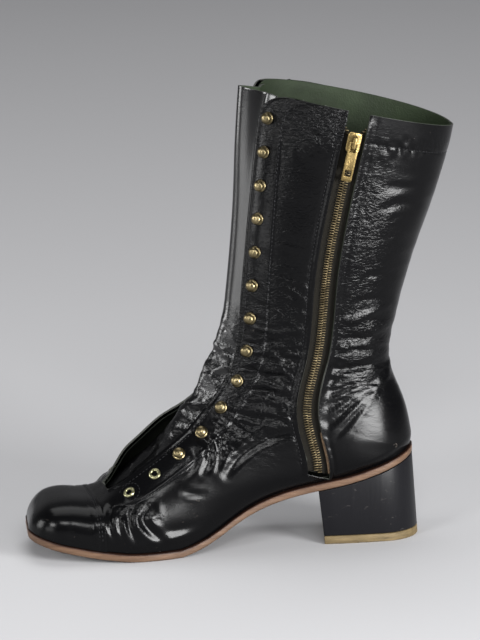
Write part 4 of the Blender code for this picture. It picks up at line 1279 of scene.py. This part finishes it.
def make_tongue():
    bm = bmesh.new()
    lift, pebble, ripple = [bm.verts.layers.float.new(name) for name in SHEET_LAYERS]
    rows = np.linspace(TONGUE_ROWS[0].row, TONGUE_ROWS[-1].row, TONGUE_LENGTH_ROWS)
    first, full, waning, last = TONGUE_WRINKLE_ROWS
    for i, j, vertex in laid_grid(bm, TONGUE_COLUMNS, TONGUE_LENGTH_ROWS):
        share = 2 * j / (TONGUE_COLUMNS - 1) - 1
        point = Vector(tongue_point(rows[i], share))
        wrinkled = smooth_step(rows[i], first, full) * smooth_step(rows[i], last, waning)
        vertex.co = point * MM
        vertex[lift] = wrinkle_height(point) * tongue_freedom(rows[i], share) * wrinkled * MM
        vertex[pebble] = TONGUE_PLAIN_FILM + TONGUE_PEBBLE * wrinkled
        vertex[ripple] = TONGUE_PLAIN_FILM + TONGUE_RIPPLE * wrinkled
    raise_sheet(bm)
    patent = patent_material("tongue_patent", coat=1.0, film_index=1.5, film_roughness=0.19)
    materials = [patent, lining_material(), edge_material()]
    piece = new_piece("tongue_leather", bm, materials, ("tongue",))
    add_wall(piece, TONGUE_WALL, rim=TONGUE_RIM, inner_slot=1, rim_slot=2)


# Sole and heel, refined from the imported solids


SHARP_EDGE = math.radians(38)
FLAT_EDGE = math.radians(0.5)
CAD_MERGE_DISTANCE = 0.005 * MM


def refined_copy(node, bevel, segments):
    """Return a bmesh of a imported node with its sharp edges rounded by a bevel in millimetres."""
    bm = bmesh.new()
    bm.from_mesh(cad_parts[node].data)
    bmesh.ops.remove_doubles(bm, verts=bm.verts, dist=CAD_MERGE_DISTANCE)
    bmesh.ops.dissolve_limit(
        bm, angle_limit=FLAT_EDGE, use_dissolve_boundaries=False, verts=bm.verts, edges=bm.edges)
    edges = [edge for edge in bm.edges if len(edge.link_faces) == 2 and edge.calc_face_angle() > SHARP_EDGE]
    bmesh.ops.bevel(bm, geom=edges, offset=bevel * MM, segments=segments, profile=0.5, affect="EDGES",
                    material=-1, clamp_overlap=True)
    bmesh.ops.triangulate(bm, faces=[face for face in bm.faces if len(face.verts) > 4])
    return bm


def make_sole():
    bm = refined_copy("outsole", bevel=0.7, segments=3)
    layer = bm.verts.layers.float.new("edge_height")
    for vertex in bm.verts:
        top = sole_top(true_station(vertex.co.x / MM, vertex.co.y / MM))
        vertex[layer] = 1 - (top - vertex.co.z / MM) / SOLE_THICKNESS
    new_piece("outsole_leather", bm, [sole_material()], ("outsole",))
    sock = refined_copy("insole", bevel=0.4, segments=2)
    new_piece("insole_sock", sock, [lining_material()], ("insole",))


def make_heel():
    stack = refined_copy("heel_block", bevel=0.6, segments=3)
    new_piece("heel_stack", stack, [heel_material()], ("heel_block",))
    lift = refined_copy("heel_top_lift", bevel=0.7, segments=3)
    rubber = raw_leather_material("lift_rubber", tuple(look().lift))
    new_piece("top_lift", lift, [rubber], ("heel_top_lift",))


# Zip


TOOTH_PITCH = 0.86
TOOTH_SIZE = (3.2, 0.66, 1.7)
TOOTH_BEVEL = 0.16
TOOTH_EDGE = 2.8
TAPE_STEPS = 150
TAPE_COLUMNS = 7
TAPE_ENDS = (ZIP_FOOT_ROW + 0.1, COLLAR_ROW - 0.15)
TAPE_WALL = 0.8 * MM
CHAIN_ENDS = (ZIP_FOOT_ROW + 0.25, COLLAR_ROW - 0.25)
ZIP_FRAME_STEP = 0.2
ZIP_PATH_STEPS = 500


def make_tape():
    bm = bmesh.new()
    rows = np.linspace(*TAPE_ENDS, TAPE_STEPS)
    for side in (1, -1):
        for i, j, vertex in laid_grid(bm, TAPE_COLUMNS, TAPE_STEPS):
            inner = zip_parting(rows[i])
            offset = inner + (TAPE_HALF - inner) * j / (TAPE_COLUMNS - 1)
            vertex.co = zip_point(rows[i], side * offset, TAPE_DEPTH + zip_sink(rows[i]))
    turn_from_foot(bm)
    piece = new_piece("zip_tape_weave", bm, [tape_material()], ("zip_tape",))
    add_wall(piece, TAPE_WALL)


def tooth_mesh():
    bm = bmesh.new()
    bmesh.ops.create_cube(bm, size=1.0)
    bmesh.ops.scale(bm, vec=Vector(TOOTH_SIZE) * MM, verts=bm.verts)
    bmesh.ops.bevel(bm, geom=bm.edges[:], offset=TOOTH_BEVEL * MM, segments=1, profile=0.5, affect="EDGES",
                    material=-1)
    return bm


def zip_frame(row, offset, depth):
    """Return the frame across, down and out of the zip at a row."""
    here, above, below = (
        zip_point(row + step, offset, depth) for step in (0.0, ZIP_FRAME_STEP, -ZIP_FRAME_STEP))
    down = (below - above).normalized()
    out = Vector(outward(row, INNER, zip_angle(row, offset)))
    across = down.cross(out).normalized()
    out = across.cross(down).normalized()
    return Matrix.Translation(here) @ Matrix((across, down, out)).transposed().to_4x4()


def place_copies(template, places):
    """Return a bmesh of a template repeated at each of the given places."""
    mesh = bpy.data.meshes.new("template")
    template.to_mesh(mesh)
    template.free()
    joined = bmesh.new()
    for place in places:
        start = len(joined.verts)
        joined.from_mesh(mesh)
        joined.verts.ensure_lookup_table()
        bmesh.ops.transform(joined, matrix=place, verts=joined.verts[start:])
    bpy.data.meshes.remove(mesh)
    return joined


def make_teeth(brass):
    rows = np.linspace(*CHAIN_ENDS, ZIP_PATH_STEPS)
    lengths = run_lengths(np.array([zip_point(row, 0.0, CHAIN_MIDDLE_DEPTH) for row in rows]) / MM)
    places = []
    for index in range(int(lengths[-1] / TOOTH_PITCH)):
        row = float(np.interp(index * TOOTH_PITCH, lengths, rows))
        side = 1 if index % 2 else -1
        offset = side * (TOOTH_EDGE - TOOTH_SIZE[0] / 2 + zip_parting(row))
        places.append(zip_frame(row, offset, CHAIN_MIDDLE_DEPTH + zip_sink(row)))
    new_piece("zip_teeth", place_copies(tooth_mesh(), places), [brass], ("zip_chain",))


RAW_EDGE_ROWS = (17.3, 19.6)
RAW_EDGE_WIDTH = 1.6
RAW_EDGE_STEPS = 40
RAW_EDGE_COLUMNS = 4
RAW_EDGE_TAPER_START = 0.12
RAW_EDGE_TAPER_SPAN = 0.8
RAW_EDGE_SLOPE = 0.5
RAW_EDGE_RISE = 0.35
RAW_EDGE_WALL = 0.4 * MM
RAW_EDGE_COLOUR = (0.10, 0.065, 0.038)


def make_raw_edge():
    """Make the strip of bare leather that shows along the lower back edge of the slit."""
    bm = bmesh.new()
    rows = np.linspace(*RAW_EDGE_ROWS, RAW_EDGE_STEPS)
    for i, j, vertex in laid_grid(bm, RAW_EDGE_COLUMNS, RAW_EDGE_STEPS):
        turn = math.pi * (RAW_EDGE_TAPER_START + RAW_EDGE_TAPER_SPAN * i / RAW_EDGE_STEPS)
        inwards = RAW_EDGE_WIDTH * j / (RAW_EDGE_COLUMNS - 1) * math.sin(turn) ** 0.5
        vertex.co = zip_point(rows[i], inwards - ZIP_HALF_SLIT, RAW_EDGE_SLOPE * inwards - RAW_EDGE_RISE)
    turn_from_foot(bm)
    bare = raw_leather_material("raw_edge", RAW_EDGE_COLOUR)
    piece = new_piece("zip_raw_edge", bm, [bare])
    add_wall(piece, RAW_EDGE_WALL)


def make_zip():
    brass = brass_material("slider_brass", tuple(look().brass))
    make_tape()
    make_teeth(brass_material("tooth_brass", tuple(look().teeth), roughness=0.5))
    make_raw_edge()
    slider = refined_copy("zip_slider", bevel=0.35, segments=2)
    new_piece("zip_slider_body", slider, [brass], ("zip_slider",))
    tab = refined_copy("zip_pull", bevel=0.22, segments=2)
    new_piece("zip_pull_tab", tab, [brass], ("zip_pull",), body="zip_pull")


# Stitching


STITCH_PITCH = 2.7
STITCH_SIZE = (0.26, 1.0, 0.2)
STITCH_RISE = 0.06
STAY_ROWS = (12.5, 34.2)
FACING_STITCH = 4.0
FACING_STITCH_ROWS = (10.0, 33.5)
ZIP_STITCH_ROWS = (ZIP_FOOT_ROW + 0.3, COLLAR_ROW - 0.2)
CAP_STITCHES = (1.8, 3.8)
CAP_STITCH_STEPS = 90
CAP_STITCH_END = 0.12

# Columns of the upper's mesh that a seam leaves free beside facing or slit
COLLAR_SEAM_MARGIN = {INNER: 5, OUTER: 24}
ZIP_SEAM_MARGIN = 12

# Curved row of stitches round the lowest eyelets
ARC_RADIUS = 7.4
ARC_STEPS = 24
ARC_START = math.radians(-60)
ARC_END = math.radians(200)


def crossing(values, points, level):
    """Return the first point along a line of points where its value crosses a level, or None."""
    above = values > level
    changes = np.nonzero(above[1:] != above[:-1])[0]
    if not len(changes):
        return None
    i = changes[0]
    share = (level - values[i]) / (values[i + 1] - values[i])
    return points[i] + share * (points[i + 1] - points[i])


def seam_along_rows(sheet, field, level, rows, columns):
    """Return the line where a distance field has one level, from row to row of a sheet."""
    line = []
    for i in np.nonzero((sheet.rows[:, 0] >= rows[0]) & (sheet.rows[:, 0] <= rows[1]))[0]:
        wanted = level(sheet.rows[i, 0]) if callable(level) else level
        line.append(crossing(field[i, columns], sheet.points[i, columns], wanted))
    return [point for point in line if point is not None]


def stitch_places(line, surface):
    """Return the frame of each stitch along a line pressed onto a surface."""
    line = np.array(line)
    lengths = run_lengths(line)
    marks = np.arange(0.0, lengths[-1], STITCH_PITCH)
    points = np.stack([np.interp(marks, lengths, line[:, axis]) for axis in range(3)], axis=-1)
    places = []
    for here, ahead in zip(points, points[1:]):
        spot, normal, _, _ = surface.find_nearest(Vector((here + ahead) / 2) * MM)
        run = Vector(ahead - here)
        across = run.cross(normal).normalized()
        run = normal.cross(across)
        turn = Matrix((across, run, normal)).transposed().to_4x4()
        places.append(Matrix.Translation(spot + normal * STITCH_RISE * MM) @ turn)
    return places


def stay_band(row):
    return float(facing_sizes(row)[1])


def upper_seams():
    """Return the stitched lines of the upper."""
    lines = []
    facing_start = LEATHER_DENSITY.gap
    slit_start = facing_start + LEATHER_DENSITY.front
    facing = slice(facing_start, slit_start)
    collar_start = {INNER: slit_start + LEATHER_DENSITY.slit, OUTER: facing_start}
    for sheet in surfaces["sides"]:
        lines.append(seam_along_rows(sheet, sheet.from_facing, stay_band, STAY_ROWS, facing))
        lines.append(seam_along_rows(sheet, sheet.from_facing, FACING_STITCH, FACING_STITCH_ROWS, facing))
        start = collar_start[sheet.side] + COLLAR_SEAM_MARGIN[sheet.side]
        columns = range(start, sheet.points.shape[1])
        band = [crossing(sheet.from_collar[:, j], sheet.points[:, j], COLLAR_BAND) for j in columns]
        lines.append([point for point in band if point is not None])
    inner = surfaces["sides"][0]
    middle = slit_start + 1
    for columns in (slice(facing_start + ZIP_SEAM_MARGIN, middle), slice(middle, None)):
        lines.append(seam_along_rows(inner, inner.from_slit, ZIP_STITCH, ZIP_STITCH_ROWS, columns))
    return lines


def cap_seams():
    """Return two stitched lines along the rear edge of the toe cap."""
    lines = []
    row_length = UPPER_ROWS[CAP_ROW - 1].front_station - UPPER_ROWS[CAP_ROW].front_station
    for distance in CAP_STITCHES:
        row = CAP_ROW - distance / row_length
        for side in (INNER, OUTER):
            end = section(row).ends[side_index(side)] - CAP_STITCH_END
            lines.append(list(skin(row, side, np.linspace(0.0, end, CAP_STITCH_STEPS))))
    return lines


def eyelet_arcs():
    """Return a curved line of stitches round the lowest eyelet of each facing."""
    lines = []
    radius = ARC_RADIUS * MM
    for side in (INNER, OUTER):
        row, angle = facing_places(side)[-1]
        place = fitting_frame(row, side, angle)
        turns = np.linspace(ARC_START, ARC_END, ARC_STEPS)
        ring = [place @ Vector((radius * math.cos(turn), radius * math.sin(turn), 0)) for turn in turns]
        lines.append([np.array(point) / MM for point in ring])
    return lines


def make_stitches():
    places = []
    for line in upper_seams() + eyelet_arcs():
        places += stitch_places(line, surfaces["upper"])
    for line in cap_seams():
        places += stitch_places(line, surfaces["toe_cap"])
    bm = bmesh.new()
    bmesh.ops.create_uvsphere(bm, u_segments=6, v_segments=5, radius=MM)
    bmesh.ops.scale(bm, vec=STITCH_SIZE, verts=bm.verts)
    new_piece("stitching", place_copies(bm, places), [thread_material()])


# Hooks and eyelets


TURN_STEPS = 20
FITTING_CLEARANCE = 0.6
FACING_STEPS = 1200
FACING_ANGLE_STEP = 0.01
HOOK_PROFILE = (
    (0.0, 4.7), (1.3, 4.6), (2.5, 4.2), (3.3, 3.5), (3.7, 2.8), (3.4, 2.3), (2.2, 2.0), (1.9, 1.6),
    (2.4, 1.2), (3.6, 1.1), (4.2, 0.7), (4.3, 0.3), (4.0, 0.0), (0.0, 0.0))
EYELET_PROFILE = (
    (1.9, -1.2), (1.9, 0.5), (2.2, 0.95), (2.8, 1.15), (3.4, 1.0), (3.9, 0.6), (4.1, 0.1), (3.9, -0.3),
    (2.4, -0.4), (2.4, -1.2))


def facing_places(side):
    """Return row and angle of each hook and eyelet, at even steps down from the collar by the inner gap."""
    places = []
    travelled = 0.0
    wanted = FIRST_HOOK_DROP
    before = None
    for row in np.linspace(COLLAR_ROW, THROAT_ROW, FACING_STEPS):
        angle = breadth_angle(row, side, half_gap(row, INNER, round_corner=False))
        edge = skin(row, side, angle)
        setback = float(facing_sizes(row)[0])
        while np.linalg.norm(skin(row, side, angle) - edge) < setback:
            angle += FACING_ANGLE_STEP
        here = skin(row, side, angle)
        if before is not None:
            travelled += np.linalg.norm(here - before)
        before = here
        if travelled >= wanted and len(places) < HOOK_COUNT + EYELET_COUNT:
            places.append((row, angle))
            wanted += SHAFT_PITCH if len(places) < SHAFT_HOOKS else INSTEP_PITCH
    return places


def fitting_frame(row, side, angle):
    """Return the frame of a hook or eyelet on the facing, with Z square to the leather."""
    out = Vector(outward(row, side, angle))
    place = (Vector(skin(row, side, angle)) + out * FITTING_CLEARANCE) * MM
    return Matrix.Translation(place) @ out.to_track_quat("Z", "Y").to_matrix().to_4x4()


def turned_mesh(profile):
    """Return a bmesh of a profile of radius and height turned about Z into a solid or a ring."""
    bm = bmesh.new()
    points = [bm.verts.new(Vector((radius, 0, height)) * MM) for radius, height in profile]
    edges = [bm.edges.new(pair) for pair in zip(points, points[1:])]
    if profile[0][0] > 0:
        edges.append(bm.edges.new((points[-1], points[0])))
    bmesh.ops.spin(bm, geom=points + edges, cent=(0, 0, 0), axis=(0, 0, 1), angle=math.tau,
                   steps=TURN_STEPS, use_merge=True)
    bmesh.ops.remove_doubles(bm, verts=bm.verts, dist=CAD_MERGE_DISTANCE)
    bmesh.ops.recalc_face_normals(bm, faces=bm.faces)
    return bm


def make_fittings():
    hook_brass = brass_material("hook_brass", tuple(look().fittings))
    eyelet_brass = brass_material("eyelet_brass", tuple(look().eyelets))
    for side, label in ((INNER, "inner"), (OUTER, "outer")):
        places = [fitting_frame(row, side, angle) for row, angle in facing_places(side)]
        hooks = place_copies(turned_mesh(HOOK_PROFILE), places[:HOOK_COUNT])
        new_piece(f"hooks_{label}", hooks, [hook_brass],
                  [f"hook_{label}_{number:02d}" for number in range(1, HOOK_COUNT + 1)])
        eyelets = place_copies(turned_mesh(EYELET_PROFILE), places[HOOK_COUNT:])
        new_piece(f"eyelets_{label}", eyelets, [eyelet_brass],
                  [f"eyelet_{label}_{number}" for number in range(1, EYELET_COUNT + 1)])


# Stage


CAMERA_AZIMUTH = math.radians(78)
CAMERA_ELEVATION = math.radians(13)
CAMERA_DISTANCE = 3.0
CAMERA_TARGET = Vector((0.0, -0.0093, 0.150))
CAMERA_LENS = 256.0
CAMERA_SHIFT = (0.0256, 0.0)
CAMERA_REACH = 60.0
FLOOR_RADIUS = 14.0
FLOOR_SEGMENTS = 64
SKY_COLOUR = (0.62, 0.62, 0.65, 1.0)
SKY_STRENGTH = 0.22

# Soft area lights: place and aim, size in metres and power in watts
SOFTBOXES = table(
    "name place aim size power",
    ("top_softbox", (-0.9, 0.1, 2.8), (-0.3, 0, 0.1), (2.2, 2.2), 38),
    ("key_softbox", (2.1, -0.2, 1.6), (0, 0, 0.15), (1.1, 0.48), 30),
    ("right_softbox", (1.62, 1.15, 0.38), (0, 0.05, 0.10), (0.9, 0.76), 98),
    ("left_softbox", (1.5, -1.75, 0.95), (0, -0.05, 0.15), (0.7, 0.62), 28),
    ("front_softbox", (-0.25, -1.8, 0.42), (0, -0.08, 0.14), (0.7, 0.7), 17),
    ("low_softbox", (0.58, -0.95, 0.08), (0, -0.02, 0.2), (0.5, 0.2), 1.5),
    ("far_softbox", (-2.6, 0.0, 0.85), (0, 0, 0.15), (2.6, 1.0), 0.7),
)


def facing_along(direction):
    """Return the turn of a lamp or camera that looks along a direction."""
    return direction.to_track_quat("-Z", "Y").to_euler()


def add_softbox(box):
    light = bpy.data.lights.new(box.name, "AREA")
    light.shape = "RECTANGLE"
    light.size, light.size_y = box.size
    light.energy = box.power
    lamp = bpy.data.objects.new(box.name, light)
    lamp.location = box.place
    lamp.rotation_euler = facing_along(Vector(box.aim) - Vector(box.place))
    lamp.visible_camera = False
    bpy.context.scene.collection.objects.link(lamp)


def add_floor():
    bm = bmesh.new()
    bmesh.ops.create_circle(bm, cap_ends=True, radius=FLOOR_RADIUS, segments=FLOOR_SEGMENTS)
    mesh = bpy.data.meshes.new("floor")
    bm.to_mesh(mesh)
    bm.free()
    material, tree, shader = new_material("floor_paper", tuple(look().floor), roughness=0.8)
    add_bump(tree, shader, object_noise(tree, 300), 0.05 * MM)
    mesh.materials.append(material)
    floor = bpy.data.objects.new("floor", mesh)
    bpy.context.scene.collection.objects.link(floor)


def add_sky():
    world = bpy.data.worlds.new("studio")
    world.use_nodes = True
    background = world.node_tree.nodes["Background"]
    background.inputs["Color"].default_value = SKY_COLOUR
    background.inputs["Strength"].default_value = SKY_STRENGTH
    bpy.context.scene.world = world


def add_camera():
    scene = bpy.context.scene
    camera = bpy.data.objects.new("camera", bpy.data.cameras.new("camera"))
    back = Vector((
        math.sin(CAMERA_AZIMUTH) * math.cos(CAMERA_ELEVATION),
        -math.cos(CAMERA_AZIMUTH) * math.cos(CAMERA_ELEVATION), math.sin(CAMERA_ELEVATION)))
    camera.location = CAMERA_TARGET + back * CAMERA_DISTANCE
    camera.rotation_euler = facing_along(-back)
    camera.data.lens = CAMERA_LENS
    camera.data.shift_x, camera.data.shift_y = CAMERA_SHIFT
    camera.data.clip_end = CAMERA_REACH
    scene.collection.objects.link(camera)
    scene.camera = camera


def make_stage():
    bpy.context.scene.view_settings.view_transform = "Standard"
    add_floor()
    for box in SOFTBOXES:
        add_softbox(box)
    add_sky()
    add_camera()


# Add-on


def colour_of(thing, name, default):
    """Return a colour property for a thing of the boot."""
    return FloatVectorProperty(
        name=name, description=f"Colour of the {thing}", subtype="COLOR", default=default)


class BootLook(bpy.types.PropertyGroup):
    """Sizes and colours of the boot's finish."""

    leather: FloatProperty(
        name="Leather", description="Thickness of the upper's leather", default=1.2 * MM, unit="LENGTH")
    crease_depth: FloatProperty(
        name="Crease depth", description="How deep creases are, against the table", default=1.0,
        subtype="FACTOR", min=0.0, max=2.0)
    patent: colour_of("patent leather", "Patent", (0.0012, 0.0012, 0.0014))
    lining: colour_of("lining leather", "Lining", (0.0135, 0.021, 0.0095))
    sole: colour_of("sole's edge", "Sole", (0.105, 0.062, 0.038))
    lift: colour_of("heel's top-lift", "Top-lift", (0.105, 0.076, 0.036))
    brass: colour_of("zip's slider and tab", "Brass", (0.29, 0.21, 0.085))
    teeth: colour_of("zip's teeth", "Teeth", (0.14, 0.11, 0.062))
    fittings: colour_of("lacing hooks", "Hooks", (0.19, 0.155, 0.085))
    eyelets: colour_of("eyelets", "Eyelets", (0.30, 0.29, 0.17))
    tape: colour_of("zip's tape", "Zip tape", (0.007, 0.006, 0.004))
    floor: colour_of("floor", "Floor", (0.46, 0.46, 0.47))


class BOOT_OT_upper(bpy.types.Operator):
    """Make the upper's leather with its creases and seams"""
    bl_idname = "boot.upper"
    bl_label = "Upper"

    def execute(self, context):
        make_upper()
        return {"FINISHED"}


class BOOT_OT_lining(bpy.types.Operator):
    """Make the lining"""
    bl_idname = "boot.lining"
    bl_label = "Lining"

    def execute(self, context):
        make_lining()
        return {"FINISHED"}


class BOOT_OT_toe_cap(bpy.types.Operator):
    """Make the toe cap"""
    bl_idname = "boot.toe_cap"
    bl_label = "Toe cap"

    def execute(self, context):
        make_toe_cap()
        return {"FINISHED"}


class BOOT_OT_tongue(bpy.types.Operator):
    """Make the wrinkled tongue"""
    bl_idname = "boot.tongue"
    bl_label = "Tongue"

    def execute(self, context):
        make_tongue()
        return {"FINISHED"}


class BOOT_OT_sole(bpy.types.Operator):
    """Make outsole, insole, heel and top-lift"""
    bl_idname = "boot.sole"
    bl_label = "Sole and heel"

    def execute(self, context):
        make_sole()
        make_heel()
        return {"FINISHED"}


class BOOT_OT_zip(bpy.types.Operator):
    """Make the zip with tape, teeth, slider and pull tab"""
    bl_idname = "boot.zip"
    bl_label = "Zip"

    def execute(self, context):
        make_zip()
        return {"FINISHED"}


class BOOT_OT_fittings(bpy.types.Operator):
    """Make the hooks and eyelets along both facings"""
    bl_idname = "boot.fittings"
    bl_label = "Hooks and eyelets"

    def execute(self, context):
        make_fittings()
        return {"FINISHED"}


class BOOT_OT_stitching(bpy.types.Operator):
    """Sew the seams of upper and toe cap"""
    bl_idname = "boot.stitching"
    bl_label = "Stitching"

    def execute(self, context):
        make_stitches()
        return {"FINISHED"}


class BOOT_OT_stage(bpy.types.Operator):
    """Make the floor, the lights and the camera"""
    bl_idname = "boot.stage"
    bl_label = "Stage"

    def execute(self, context):
        make_stage()
        return {"FINISHED"}


OPERATORS = (
    BOOT_OT_stage, BOOT_OT_upper, BOOT_OT_lining, BOOT_OT_toe_cap, BOOT_OT_tongue, BOOT_OT_sole, BOOT_OT_zip,
    BOOT_OT_fittings, BOOT_OT_stitching,
)


class BOOT_PT_panel(bpy.types.Panel):
    """List the boot's pieces and its look"""
    bl_idname = "BOOT_PT_panel"
    bl_label = "Boot"
    bl_space_type = "VIEW_3D"
    bl_region_type = "UI"
    bl_category = "Boot"

    def draw(self, context):
        for name in BootLook.__annotations__:
            self.layout.prop(context.scene.boot_look, name)
        for operator in OPERATORS:
            self.layout.operator(operator.bl_idname)


CLASSES = (BootLook, *OPERATORS, BOOT_PT_panel)


def register():
    for cls in CLASSES:
        bpy.utils.register_class(cls)
    bpy.types.Scene.boot_look = PointerProperty(type=BootLook)


def unregister():
    del bpy.types.Scene.boot_look
    for cls in reversed(CLASSES):
        bpy.utils.unregister_class(cls)


def main():
    register()
    for operator in OPERATORS:
        group, name = operator.bl_idname.split(".")
        getattr(getattr(bpy.ops, group), name)()


if __name__ == "__main__":
    main()
